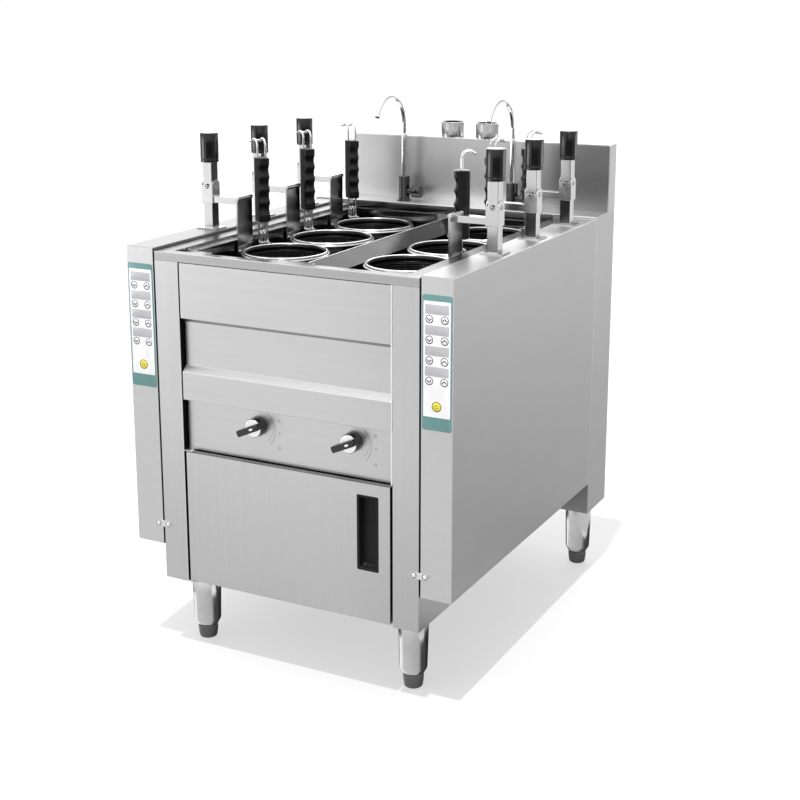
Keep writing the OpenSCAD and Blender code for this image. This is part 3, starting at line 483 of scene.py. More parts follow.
DUCT = Steel("duct steel", grey(0.53), 0.36, Grain.ALONG_Y, painted_shading=(
    # painted shade on the right outer face, darker towards the bottom
    Zone(Fade(Axis.Z, 210, 790, 0.76, 0.92), x=above(OUTSIDE_X), z=below(DECK_Z)),
    # painted shade on the lower ends, under the side boxes
    Zone(0.62, x=above(BOX_X), y=below(698.5), z=below(BASE_Z), mirrored=True),
    Zone(1.5, z=above(DECK_Z)),                                      # painted light on the deck
    Zone(1.35, x=above(OUTSIDE_X), y=below(699.0), mirrored=True),   # painted highlight on the fold at the side boxes
))
SPLASH = Steel("splashback steel", grey(0.58), 0.36, Grain.ALONG_Z, painted_shading=(
    # painted light and shade: lighter towards the middle, darker towards the right
    Fade(Axis.X, -200, 40, 0.95, 1.2), Fade(Axis.X, 60, 330, 1.0, 0.37),
    Zone(0.75, y=above(773.0), z=(939.5, 942.5)),                    # painted shade on the upper face
    Zone(1.7, y=below(SPLASH_Y), z=(938.0, 941.5)),                  # painted highlight on its front edge
    Zone(2.2, x=above(336.0), y=below(SPLASH_Y)),                    # painted highlight on the front edge at the right
    Zone(2.1, x=above(338.0), y=above(SPLASH_Y)),                    # painted highlight on the right end
))
TOP = Steel("worktop steel", grey(0.63), 0.26, Grain.ALONG_X, painted_shading=(
    Zone(0.17, x=(-242.5, 242.5), y=(18.5, 60.0), z=below(787.0)),   # painted shade on the ledges in the opening
    Zone(0.72, y=below(0.3), z=below(788.8)),                        # painted shade on the pressed band in front
    Zone(0.20, y=above(0.6), z=above(789.0)),                        # painted shade on the flat rim
    # painted shade on the rim beside the opening, at both sides
    Zone(0.80, x=above(242.0), y=above(18.0), z=above(789.0), mirrored=True),
))
# Base colours far darker than the outer sheets: painted shade inside the tanks and on the divider
TANK_IN_SHADE = Polish("tank steel in painted shade", (0.16, 0.16, 0.162), 0.14, 0.5)
DIVIDER_IN_SHADE = Polish("divider steel in painted shade", (0.022, 0.022, 0.0225), 0.14, 0.3)
BRIGHT = Steel("bright steel", grey(0.66), 0.17, Grain.ALONG_Z, 0.05, painted_shading=(
    Zone(0.22, x=(-298.2, -296.0), z=(POST_FOOT_Z, 927.0)),          # painted shade on the posts' inner faces on the left
    # painted shade on the lower parts of the right posts
    Zone(Fade(Axis.Z, POST_FOOT_Z, 846, 0.14, 0.30), x=POST_X, z=(POST_FOOT_Z, 848.0),
         y=(FIRST_LIFT + 160, FIRST_LIFT + LIFT_PITCH - LIFT_FACE)),
    Zone(0.20, x=POST_X, z=(POST_FOOT_Z, 848.0),
         y=(FIRST_LIFT + 340, FIRST_LIFT + 2 * LIFT_PITCH - LIFT_FACE)),
    Zone(Fade(Axis.Z, POST_FOOT_Z, 824, 0.35, 1.0), x=POST_X, z=(POST_FOOT_Z, 826.0),
         y=below(FIRST_LIFT - LIFT_FACE)),
))
ARM = Steel("arm steel", grey(0.68), 0.20, Grain.ALONG_X, 0.05, painted_shading=(
    # painted shade across each hanger plate, darker towards the back
    Zone(Fade(Axis.Y, FIRST_LIFT - 26, FIRST_LIFT + 26, 0.85, 0.12, LIFT_PITCH),
         x=(HANGER_X - HANGER_HALF, HANGER_X + HANGER_HALF), z=below(861.0), mirrored=True),
))
# Painted highlight: a pale finish for lines and strips where light catches an edge
EDGE_HIGHLIGHT = Steel("painted edge highlight", grey(0.86), 0.40, Grain.ALONG_Z, 0.02)
# Painted shade: a dark grey finish for a strip in a shaded gap
DOOR_GAP_SHADE = Steel("painted shade over the door", grey(0.20), 0.40, Grain.ALONG_X, 0.02)
LEG = Polish("leg steel", grey(0.66), 0.11)
WIRE = Polish("wire steel", grey(0.80), 0.13)
# Painted shade: the basket's sheet far darker than the wires, its inside darker still
CUP_IN_SHADE = Steel("basket sheet in painted shade", grey(0.13), 0.22, Grain.ALONG_Z, 0.05)
CUP_INSIDE_SHADE = Steel("basket inside in painted shade", grey(0.035), 0.34, Grain.ALONG_Z, 0.05)
CHROME = Polish("chrome", grey(0.22), 0.08)
TAP_BODY = Polish("tap body chrome", grey(0.085), 0.08)
BLACK = Moulded("black plastic", grey(0.010), 0.42, shine=0.18)
GRIP = Moulded("grip plastic", grey(0.006), 0.28, 600.0, 0.06, shine=0.30)
GLOSS_BLACK = Moulded("gloss black plastic", grey(0.004), 0.10, 700.0, 0.02, shine=0.60)
# Painted shade: a black finish for strips in shaded gaps
GAP_SHADE = Moulded("painted gap shade", grey(0.004), 0.7, shine=0.05)
FOOT = Moulded("foot plastic", grey(0.11), 0.46)
KNOB_FACE = Steel("knob face", grey(0.86), 0.22, Grain.NONE, 0.03)
WHITE_MARK = Moulded("white mark", grey(0.80), 0.45)
GREY_MARK = Moulded("grey print", grey(0.17), 0.5)
FILM = Moulded("keypad film", grey(0.93), 0.30, 900.0, 0.05, 0.2)
TEAL = Moulded("teal print", (0.125, 0.27, 0.265), 0.32, 900.0, 0.05, 0.2)
DISPLAY = Moulded("display window", (0.48, 0.47, 0.49), 0.22, 900.0, 0.03, 0.3)
KEY_EDGE = Moulded("key outline", (0.03, 0.035, 0.035), 0.4, 900.0, 0.05)
YELLOW = Moulded("yellow key", (0.90, 0.78, 0.05), 0.35, 900.0, 0.05)
ALUMINIUM = Steel("anodised aluminium", (0.52, 0.53, 0.54), 0.38, Grain.ALONG_Z)
MOUTH = Polish("flue inside", grey(0.03), 0.25)
SLEEVE = Polish("flue sleeve", grey(0.42), 0.09, 0.15)
TURNED_END = Polish("turned end", grey(0.10), 0.16)
IRON = Scaled("burner iron", (0.07, 0.065, 0.06), 0.62)
BRASS = Steel("brass", (0.68, 0.50, 0.22), 0.28, Grain.ALONG_Y)
RED = Moulded("lever red", (0.42, 0.02, 0.018), 0.25, 600.0, 0.06, 0.3)


# ------------------------------------------------------------------ surfaces
@dataclass(frozen=True)
class Seat:
    """A place with three directions of its own: along u, along v and outward w."""

    origin: tuple = (0.0, 0.0, 0.0)
    u: tuple = (1.0, 0.0, 0.0)
    v: tuple = (0.0, 1.0, 0.0)
    w: tuple = (0.0, 0.0, 1.0)

    def at(self, points: np.ndarray) -> np.ndarray:
        """Point = origin + a u + b v + c w for each (a, b, c)."""
        turned = np.asarray(points, float) @ np.array([self.u, self.v, self.w])
        return turned + np.array(self.origin)

    def shifted(self, a: float, b: float, c: float) -> "Seat":
        """The same directions at a place given in its own coordinates."""
        return Seat(tuple(self.at(np.array([a, b, c]))), self.u, self.v, self.w)


def facing_front(x: float, y: float, z: float) -> Seat:
    """A seat that looks to the front."""
    return Seat((x, y, z), (1, 0, 0), (0, 0, 1), (0, -1, 0))


def facing_back(x: float, y: float, z: float) -> Seat:
    """A seat that looks to the back."""
    return Seat((x, y, z), (-1, 0, 0), (0, 0, 1), (0, 1, 0))


def facing_side(side: int, x: float, y: float, z: float) -> Seat:
    """A seat that looks to the right (side 1) or left (side -1)."""
    return Seat((x, y, z), (0, side, 0), (0, 0, 1), (side, 0, 0))


@dataclass
class Skin:
    """Points and faces of a surface, in millimetres from the front face."""

    points: np.ndarray
    faces: list

    def outward(self, centre: Sequence[float] = (0, 0, 0)) -> "Skin":
        """Turns the faces out: the sum of a . (b x c) over all faces has to be above zero.

        Args:
            centre: the point from which an open surface is seen from inside.

        Returns:
            The surface with its faces pointing out.
        """
        p = self.points - np.asarray(centre, float)
        total = 0.0
        for block in self.faces:
            for k in range(1, block.shape[1] - 1):
                total += (p[block[:, 0]] * np.cross(p[block[:, k]], p[block[:, k + 1]])).sum()
        return self if total >= 0 else Skin(self.points, [block[:, ::-1] for block in self.faces])

    @staticmethod
    def join(skins: Sequence["Skin"]) -> "Skin":
        """Puts surfaces into one, with the point numbers moved on."""
        starts = np.cumsum([0] + [len(s.points) for s in skins[:-1]])
        return Skin(np.vstack([s.points for s in skins]),
                    [block + start for s, start in zip(skins, starts) for block in s.faces])


def grid(points: np.ndarray, wrap_u: bool = False, wrap_v: bool = True, caps: bool = True) -> Skin:
    """Joins a grid of points to four-sided faces.

    Args:
        points: array (u, v, 3).
        wrap_u: joins the last row to the first.
        wrap_v: joins the last column to the first.
        caps: closes the first and the last row with one face each.

    Returns:
        The surface.
    """
    rows, columns = points.shape[:2]
    index = np.arange(rows * columns).reshape(rows, columns)
    ends = [index[:1, :], index[-1:, ::-1]] if caps and wrap_v and not wrap_u else []
    if wrap_u:
        index = np.vstack([index, index[:1]])
    if wrap_v:
        index = np.hstack([index, index[:, :1]])
    quads = np.stack([index[:-1, :-1], index[1:, :-1], index[1:, 1:], index[:-1, 1:]], -1)
    return Skin(points.reshape(-1, 3), [quads.reshape(-1, 4)] + ends)


def circle(sides: int) -> np.ndarray:
    """Angles of a full turn."""
    return np.linspace(0, FULL, sides, endpoint=False)


def eased(corners: Sequence, reach: float, steps: int = 4) -> np.ndarray:
    """Rounds each inner corner of an open line: (1-t)^2 a + 2t(1-t) corner + t^2 b.

    Args:
        corners: points in two or three dimensions.
        reach: how far from the corner the curve starts.
        steps: points per corner.

    Returns:
        The line with curved corners.
    """
    c = np.asarray(corners, float)
    back, on = c[:-2] - c[1:-1], c[2:] - c[1:-1]
    back_l = np.linalg.norm(back, axis=1, keepdims=True)
    on_l = np.linalg.norm(on, axis=1, keepdims=True)
    r = np.minimum(reach, 0.45 * np.minimum(back_l, on_l))
    a, b = c[1:-1] + back / back_l * r, c[1:-1] + on / on_l * r
    t = np.linspace(0, 1, steps)[None, :, None]
    curve = (1 - t) ** 2 * a[:, None] + 2 * t * (1 - t) * c[1:-1][:, None] + t ** 2 * b[:, None]
    return np.vstack([c[:1], curve.reshape(-1, c.shape[1]), c[-1:]])


def tube(path: np.ndarray, radius: Union[float, np.ndarray], side: Sequence[float],
         sides: int = 12, closed: bool = False) -> Skin:
    """A round bar along a path: point = path + radius (cos a side + sin a (tangent x side)).

    Args:
        path: points (n, 3) in a plane.
        radius: one radius, or one per point.
        side: the direction square to that plane.
        sides: number of sides.
        closed: joins the end to the start.

    Returns:
        The closed surface.
    """
    path = np.asarray(path, float)
    tangent = np.roll(path, -1, 0) - np.roll(path, 1, 0) if closed else np.gradient(path, axis=0)
    across = np.asarray(side, float) / np.linalg.norm(side)
    other = np.cross(tangent, across)
    other /= np.linalg.norm(other, axis=1, keepdims=True)
    a = circle(sides)[None, :, None]
    r = np.broadcast_to(np.asarray(radius, float), (len(path),))[:, None, None]
    ring = path[:, None] + r * (np.cos(a) * across + np.sin(a) * other[:, None])
    return grid(ring, wrap_u=closed, caps=not closed).outward()


def revolved(profile: np.ndarray, sides: int, swell: Any = 1.0) -> np.ndarray:
    """Carries a profile over a full turn: point = (r swell cos a, r swell sin a, h).

    Args:
        profile: (radius, height) pairs.
        sides: number of sides.
        swell: factor on the radius, one number or one per point and side.

    Returns:
        Points (profile, sides, 3).
    """
    a = circle(sides)[None, :]
    r = profile[:, :1] * swell
    return np.stack([r * np.cos(a), r * np.sin(a), profile[:, 1:] + 0 * a], -1)


def lathe(profile: Sequence, seat: Seat, sides: int = 48, closed: bool = False) -> Skin:
    """Turns a profile about a seat's outward axis: point = (r cos a, r sin a, h).

    Args:
        profile: (radius, height) pairs.
        seat: the place, with w as the axis.
        sides: number of sides.
        closed: joins the profile's end to its start, for a ring.

    Returns:
        The closed surface.
    """
    points = revolved(np.asarray(profile, float), sides)
    return grid(seat.at(points), wrap_u=closed, caps=not closed).outward()


def rod(radius: float, low: float, high: float, seat: Seat, sides: int) -> Skin:
    """A round bar on a seat: a line out, along and back in, turned."""
    return lathe([(HUB, low), (radius, low), (radius, high), (HUB, high)], seat, sides)


def washer(inner: float, outer: float, low: float, high: float, seat: Seat, sides: int) -> Skin:
    """A ring on a seat: a rectangle turned about its axis."""
    profile = [(inner, low), (outer, low), (outer, high), (inner, high)]
    return lathe(profile, seat, sides, closed=True)


def rounded(width: float, height: float, radius: float, steps: int = 5) -> np.ndarray:
    """Outline of a rounded rectangle about its centre: four corner arcs, a quarter turn apart.

    Args:
        width: size along the first axis.
        height: size along the second axis.
        radius: corner radius.
        steps: points per corner.

    Returns:
        Points (4 steps, 2).
    """
    radius = min(radius, width / 2 - 1e-3, height / 2 - 1e-3)
    a = np.linspace(0, math.pi / 2, steps)[None, :] + (math.pi / 2) * np.arange(4)[:, None]
    cx = (width / 2 - radius) * np.array([1, -1, -1, 1])[:, None]
    cy = (height / 2 - radius) * np.array([1, 1, -1, -1])[:, None]
    return np.stack([cx + radius * np.cos(a), cy + radius * np.sin(a)], -1).reshape(-1, 2)


def slab(width: float, height: float, low: float, high: float, radius: float, ease: float,
         seat: Seat) -> Skin:
    """A plate with rounded corners and an eased outer edge, as a stack of rounded rectangles.

    Args:
        width: size along u.
        height: size along v.
        low: where it starts along w.
        high: where it ends along w.
        radius: corner radius seen from w.
        ease: radius of the outer edge.
        seat: centre and directions.

    Returns:
        The closed surface.
    """
    a = np.linspace(0, math.pi / 2, 4)
    inset = np.concatenate([[0.0], ease * (1 - np.cos(a))])
    level = np.concatenate([[low], high - ease + ease * np.sin(a)])
    rows = [np.column_stack([rounded(width - 2 * i, height - 2 * i, max(radius - i, 0.05)),
                             np.full(20, w)]) for i, w in zip(inset, level)]
    return grid(seat.at(np.stack(rows))).outward()


def ribbon(path: Sequence, width: float, low: float, high: float, seat: Seat) -> Skin:
    """A flat stroke along a line on a seat: each point widens to a four-cornered section.

    Args:
        path: (u, v) points.
        width: width of the stroke.
        low: its underside along w.
        high: its upper side along w.
        seat: the place.

    Returns:
        The closed surface.
    """
    p = np.asarray(path, float)
    along = np.gradient(p, axis=0)
    along /= np.linalg.norm(along, axis=1, keepdims=True)
    off = np.column_stack([-along[:, 1], along[:, 0]]) * width / 2
    corners = [(p + off, low), (p - off, low), (p - off, high), (p + off, high)]
    points = np.stack([np.column_stack([xy, np.full(len(p), w)]) for xy, w in corners], 1)
    return grid(seat.at(points)).outward()


def perforated(surface: Callable, columns: int, rows: int, hole: float, wrap: bool) -> Skin:
    """A sheet with one round hole per cell: eight faces join each hole's rim to its cell's edge.

    Args:
        surface: maps arrays u, v counted in cells to points.
        columns: cells along u.
        rows: cells along v.
        hole: radius of a hole as a share of a cell.
        wrap: True if u closes on itself.

    Returns:
        The open surface.
    """
    wide = 2 * columns if wrap else 2 * columns + 1
    u2, v2 = np.meshgrid(np.arange(wide) / 2, np.arange(2 * rows + 1) / 2, indexing="ij")
    outer = surface(u2, v2).reshape(-1, 3)
    i, j = [k.ravel() for k in np.meshgrid(np.arange(columns), np.arange(rows), indexing="ij")]
    du, dv = np.array([2, 2, 1, 0, 0, 0, 1, 2]), np.array([1, 2, 2, 2, 1, 0, 0, 0])
    ring = ((2 * i[:, None] + du) % wide) * (2 * rows + 1) + 2 * j[:, None] + dv
    a = circle(8)
    inner = surface(i[:, None] + 0.5 + hole * np.cos(a),
                    j[:, None] + 0.5 + hole * np.sin(a)).reshape(-1, 3)
    rim = len(outer) + np.arange(len(i) * 8).reshape(-1, 8)
    quads = np.stack([ring, np.roll(ring, -1, 1), np.roll(rim, -1, 1), rim], -1).reshape(-1, 4)
    used, faces = np.unique(quads, return_inverse=True)
    return Skin(np.vstack([outer, inner])[used], [faces.reshape(-1, 4)])


class Bench:
    """Where pieces are made: meshes, finishes, the body a piece rides on and the node it stands for."""

    def __init__(self, nodes: dict, record: dict) -> None:
        """Keeps the frame's nodes and which body each one belongs to.

        Args:
            nodes: CAD objects by name.
            record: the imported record.
        """
        self.nodes = nodes
        bodies = record["behaviour"]["bodies"]
        self.body_of = {node: body for body, members in bodies.items() for node in members}

    def _add(self, name: str, mesh: bpy.types.Mesh, finishes: Sequence[Finish], body: str,
             nodes: Sequence[str], sharp: float) -> bpy.types.Object:
        """Finishes a mesh: smooth faces up to an angle, materials, body and replaced nodes.

        Args:
            name: the piece's name.
            mesh: its mesh, in metres in the frame.
            finishes: its finishes, in the order of their material numbers.
            body: the body it rides on.
            nodes: CAD nodes that it stands for.
            sharp: angle above which an edge stays sharp, in degrees.

        Returns:
            The object.
        """
        mesh.polygons.foreach_set("use_smooth", np.ones(len(mesh.polygons), bool))
        mesh.set_sharp_from_angle(angle=math.radians(sharp))
        for finish in finishes:
            mesh.materials.append(finish.material())
        made = bpy.data.objects.new(name, mesh)
        bpy.context.scene.collection.objects.link(made)
        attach(made, body)
        if nodes:
            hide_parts(*nodes)
        log.info("%s: %d faces on %s", name, len(mesh.polygons), body)
        return made

    def piece(self, name: str, layers: Sequence, body: str, slot: str, nodes: Sequence[str] = (),
              wall: float = 0.0, sharp: float = 40.0,
              inside: Optional[Finish] = None) -> bpy.types.Object:
        """Makes a piece from surfaces.

        Args:
            name: the piece's name.
            layers: (Skin, Finish) pairs.
            body: the body it rides on.
            slot: the record's material slot; not used.
            nodes: CAD nodes that it stands for.
            wall: thickness given to open surfaces, inward, in millimetres.
            sharp: angle above which an edge stays sharp, in degrees.
            inside: finish of the inner side of a wall.

        Returns:
            The finished object.
        """
        finishes = list(dict.fromkeys([finish for _, finish in layers] + ([inside] if inside else [])))
        whole = Skin.join([skin for skin, _ in layers])
        mesh = bpy.data.meshes.new(name)
        points = (whole.points - ORIGIN) * MM
        mesh.from_pydata(points.tolist(), [], [row for block in whole.faces for row in block.tolist()])
        counts = [sum(len(block) for block in skin.faces) for skin, _ in layers]
        numbers = np.repeat([finishes.index(finish) for _, finish in layers], counts)
        mesh.polygons.foreach_set("material_index", numbers.astype(np.int32))
        made = self._add(name, mesh, finishes, body, nodes, sharp)
        if wall:
            solid = made.modifiers.new("wall", "SOLIDIFY")
            solid.thickness, solid.offset = wall * MM, -1.0
            solid.material_offset = len(finishes) - 1
        return made

    def softened(self, node: str, finish: Finish, slot: str, ease: float = 0.7, segments: int = 2,
                 angle: float = 32.0) -> bpy.types.Object:
        """Copies a CAD node, merges its triangles to whole faces and rounds its edges.

        Args:
            node: the node's name.
            finish: its finish.
            slot: the record's material slot; not used.
            ease: width of the rounded edges in millimetres, none if zero.
            segments: steps across a rounded edge.
            angle: smallest angle between faces that counts as an edge, in degrees.

        Returns:
            The finished object, which stands for the node.
        """
        cast = bmesh.new()
        cast.from_mesh(self.nodes[node].data)
        bmesh.ops.remove_doubles(cast, verts=cast.verts, dist=2e-6)
        bmesh.ops.dissolve_limit(cast, angle_limit=math.radians(0.4), use_dissolve_boundaries=False,
                                 verts=cast.verts, edges=cast.edges)
        cast.verts.index_update()
        name = node + "_dressed"
        mesh = bpy.data.meshes.new(name)
        mesh.from_pydata([v.co[:] for v in cast.verts], [],
                         [[v.index for v in f.verts] for f in cast.faces])
        cast.free()
        made = self._add(name, mesh, [finish], self.body_of[node], [node], angle)
        if ease:
            edge = made.modifiers.new("rounded edges", "BEVEL")
            edge.width, edge.segments = ease * MM, segments
            edge.limit_method, edge.angle_limit = "ANGLE", math.radians(angle)
            edge.harden_normals, edge.use_clamp_overlap = True, False
        return made


# ------------------------------------------------------------------ sub-assemblies
PLACES = ("front", "middle", "rear")
SIDES = {"left": -1, "right": 1}
HANDLE_TURNS = {"left": (31.0, 29.0, 32.0), "right": (31.0, 58.0, 55.0)}   # degrees, front to rear


def lift_y(place: str) -> float:
    """How far behind the front face a lift stands."""
    return FIRST_LIFT + PLACES.index(place) * LIFT_PITCH


@dataclass
class Body:
    """Sheet-metal body: the sheets, and what is fastened to them or shows in their gaps."""

    bench: Bench
    bolt_r: float = 4.0
    bolt_h: float = 2.2
    bolt_xs: tuple = (-322, -107, 107, 322)
    bolt_zs: tuple = (175, 470, 770)
    back_y: float = 810.0
    stile_x: float = 223.0
    stile_low: float = 147.0
    stile_high: float = 773.0
    # strips of painted shade and painted highlight in the gaps
    shade_strip_w: float = 22.0
    shade_strip_y: float = 12.4
    door_w: float = 438.0
    door_top: float = 410.2
    highlight_low: float = 413.0
    gap_x: float = 276.75
    gap_mid: float = 485.0
    gap_l: float = 545.0
    latch_z: float = 254.0
    latch_w: float = 38.0
    latch_h: float = 13.0
    latch_t: float = 1.6
    latch_screw: float = 11.0
    latch_head: float = 4.6
    shank_r: float = 1.9
    shank_l: float = 6.0
    deck_y: float = 697.2
    deck_z: float = 797.7
    deck_half: float = 337.5
    # dark strip of painted shade under the deck's front edge
    band_w: float = 483.0
    band_h: float = 17.0
    band_z: float = 789.0
    ridge_z: float = 775.2
    ridge_y: tuple = (26.0, 694.0)
    highlight_r: float = 0.9
    flue_xs: tuple = (-38.0, 46.0)
    flue_y: float = 790.5
    flue_low: float = 941.0
    flue_high: float = 974.0
    flue_r: float = 25.0
    flue_bore: float = 23.0

    def sheets(self) -> None:
        """Dresses what keeps its CAD shape: folded and welded sheets, then the fittings."""
        plan = [
            ("carcass", PANEL_UPRIGHT, "panel_steel", 0.7), ("front_panel", PANEL, "panel_steel", 0.9),
            ("control_panel", PANEL, "panel_steel", 0.8), ("side_boxes", SIDE, "panel_steel", 1.2),
            ("rear_duct", DUCT, "panel_steel", 1.2), ("splashback", SPLASH, "panel_steel", 0.9),
            ("worktop", TOP, "worktop_steel", 0.9), ("divider_cap", DIVIDER_IN_SHADE, "tank_steel", 0.6),
            ("tanks", TANK_IN_SHADE, "tank_steel", 0.8), ("door", PANEL_UPRIGHT, "panel_steel", 0.9),
            ("post_guides", BRIGHT, "bright_steel", 0.5), ("burners", IRON, "burner_iron", 0.6),
            ("gas_line", BRASS, "brass", 0.5), ("drain_pipe", WIRE, "wire_steel", 0.6),
            ("drain_handle", RED, "lever_red", 1.0), ("service_inlets", BRASS, "brass", 0.5),
            ("lift_drives", ALUMINIUM, "drive_aluminium", 0.8),
        ]
        for node, finish, slot, ease in plan:
            self.bench.softened(node, finish, slot, ease)

    def latches(self) -> None:
        """Latch plates with round ends across the gap between cabinet and side box, and their screws."""
        plates, heads, rings = [], [], []
        r, top = self.latch_head, self.latch_t
        dome = eased([(HUB, top - 0.4), (r, top - 0.2), (r, top + 0.6), (0.6 * r, top + 2.2),
                      (0.45 * r, top + 2.4)], 1.6, 6).tolist()
        dome += [(0.42 * r, top + 1.2), (0.05, top + 1.1)]
        for s in SIDES.values():
            seat = facing_front(s * self.gap_x, 0, self.latch_z)
            plates.append(slab(self.latch_w, self.latch_h, 0, top, self.latch_h / 2, 0.5, seat))
            for k in (-1, 1):
                screw = seat.shifted(k * self.latch_screw, 0, 0)
                heads += [lathe(dome, screw, 32), rod(self.shank_r, -self.shank_l, top, screw, 16)]
                # painted shade: a black ring round each screw head
                rings.append(washer(r + 0.1, r + 1.1, top - 0.1, top + 0.12, screw, 32))
        self.bench.piece("latches_pressed", [(Skin.join(plates), ARM), (Skin.join(rings), BLACK)],
                         "cabinet", "bright_steel", ["latch_plates"])
        self.bench.piece("latch_screws_turned", [(Skin.join(heads), CHROME)],
                         "cabinet", "bright_steel", ["screws"])

    def gap_light_and_shade(self) -> None:
        """Painted shade in the narrow gaps as black strips, a strip of painted highlight at the right,
        and a grey strip of painted shade over the door.
        """
        middle, tall = (self.stile_low + self.stile_high) / 2, self.stile_high - self.stile_low
        # painted shade: black strips on the stiles' inner faces and in the gaps beside the side boxes
        gap_shades = [slab(self.shade_strip_w, tall, 0, 0.5, 0.2, 0.1,
                      facing_side(-s, s * self.stile_x, self.shade_strip_y, middle)) for s in SIDES.values()]
        gap_shades += [slab(2.2, self.gap_l, -1.2, -0.7, 0.2, 0.1,
                       facing_front(s * self.gap_x, 0.0, self.gap_mid)) for s in SIDES.values()]
        # painted highlight: a bright strip fills the gap at the right of the panels
        right_highlight = slab(2.6, self.stile_high - self.highlight_low, -1.0, -0.5, 0.3, 0.1,
                    facing_front(self.stile_x - 1.9, 0.0, (self.stile_high + self.highlight_low) / 2))
        # painted shade: a grey strip in the gap over the door
        over = slab(self.door_w, 3.2, -4.0, -3.5, 0.3, 0.1, facing_front(0.0, 0.0, self.door_top))
        self.bench.piece("painted_gap_shade", [(Skin.join(gap_shades), GAP_SHADE)], "cabinet", "black_plastic")
        self.bench.piece("gap_highlight_and_shade", [(right_highlight, EDGE_HIGHLIGHT), (over, DOOR_GAP_SHADE)], "cabinet", "panel_steel")

    def line(self, start: Sequence[float], end: Sequence[float], side: Sequence[float]) -> Skin:
        """A thin line of painted highlight from one point to another, with a direction square to it."""
        return tube(np.linspace(start, end, 6), self.highlight_r, side, 8)

    def edge_light_and_shade(self) -> None:
        """A dark polished strip of painted shade under the deck's front edge, and lines of painted
        highlight on that edge and on the ridge.
        """
        half, y, z = self.deck_half, self.deck_y, self.deck_z
        band = slab(self.band_w, self.band_h, 0, 0.5, 0.5, 0.1, facing_front(0.0, y - 0.2, self.band_z))
        ridge = [(0.0, end, self.ridge_z) for end in self.ridge_y]
        lines = [self.line((-half, y, z), (half, y, z), (0, 0, 1)), self.line(*ridge, (1, 0, 0))]
        self.bench.piece("deck_shade_band", [(band, TANK_IN_SHADE), (Skin.join(lines), EDGE_HIGHLIGHT)], "cabinet", "tank_steel")

    def flues(self) -> None:
        """Polished sleeves round the flue stubs, each turned from one profile, and their dark mouths."""
        sleeves, mouths = [], []
        low, high, r, bore = self.flue_low, self.flue_high, self.flue_r, self.flue_bore
        sleeve = [(r - 0.2, low + 0.2), (r + 0.5, low + 0.2), (r + 0.5, high - 0.6), (r, high + 0.3),
                  (bore + 0.3, high + 0.3), (bore, high - 0.4), (r - 0.2, high - 0.4)]
        for x in self.flue_xs:
            seat = Seat((x, self.flue_y, 0))
            sleeves.append(lathe(sleeve, seat, 96, closed=True))
            mouths += [washer(bore - 0.2, bore + 0.2, low, high - 0.2, seat, 96),
                       rod(bore, low + 1.0, low + 1.5, seat, 64)]
        self.bench.piece("flue_sleeves", [(Skin.join(sleeves), SLEEVE), (Skin.join(mouths), MOUTH)],
                         "cabinet", "panel_steel")

    def bolt(self, seat: Seat) -> Skin:
        """A round-headed screw: a low dome with a round recess, turned from one profile.

        Args:
            seat: where it sits.

        Returns:
            The closed surface.
        """
        r, h = self.bolt_r, self.bolt_h
        dome = eased([(r, 0.0), (0.96 * r, 0.6 * h), (0.5 * r, h), (0.42 * r, h)], 1.0).tolist()
        return lathe([(r, -0.2)] + dome + [(0.40 * r, 0.35 * h), (0.02, 0.3 * h)], seat, 18)

    def bolts(self) -> None:
        """Screws along the edges of the back."""
        bolts = [self.bolt(facing_back(x, self.back_y, z)) for x in self.bolt_xs for z in self.bolt_zs]
        self.bench.piece("cover_screws", [(Skin.join(bolts), BRIGHT)], "cabinet", "bright_steel")


@dataclass
class Legs:
    """Four turned legs with grey levelling feet."""

    bench: Bench
    front_x: float = 230.0
    front_y: float = 70.0
    rear_x: float = 293.5
    rear_y: float = 765.0
    top: float = 144.0
    top_r: float = 29.0
    low: float = 39.0
    low_r: float = 26.0
    end: float = 29.0
    end_r: float = 20.5
    foot_r: float = 19.5
    sole_r: float = 17.0
    shank_r: float = 6.0
    shank_l: float = 24.0

    def build(self) -> None:
        """Legs taper down to a chamfer; feet narrow to a rounded sole."""
        places = ((self.front_x, self.front_y), (self.rear_x, self.rear_y))
        stands = [Seat((s * x, y, 0)) for x, y in places for s in SIDES.values()]
        leg = [(HUB, self.top), (self.top_r, self.top), (self.low_r, self.low), (self.end_r, self.end),
               (HUB, self.end)]
        foot = [(HUB, self.end), (self.foot_r, self.end - 0.3), (self.foot_r, 0.62 * self.end),
                (self.sole_r, 0.0), (HUB, 0.0)]
        shank = [(self.shank_r, self.top - 2), (self.shank_r, self.top + self.shank_l)]
        legs = [lathe(line, seat, sides) for seat in stands
                for line, sides in ((eased(leg, 3.0, 6), 72), (shank, 20))]
        feet = [lathe(eased(foot, 5.0, 7), seat, 56) for seat in stands]
        self.bench.piece("legs_turned", [(Skin.join(legs), LEG)], "cabinet", "leg_steel", ["legs"])
        self.bench.piece("feet_moulded", [(Skin.join(feet), FOOT)], "cabinet", "foot_plastic", ["feet"])


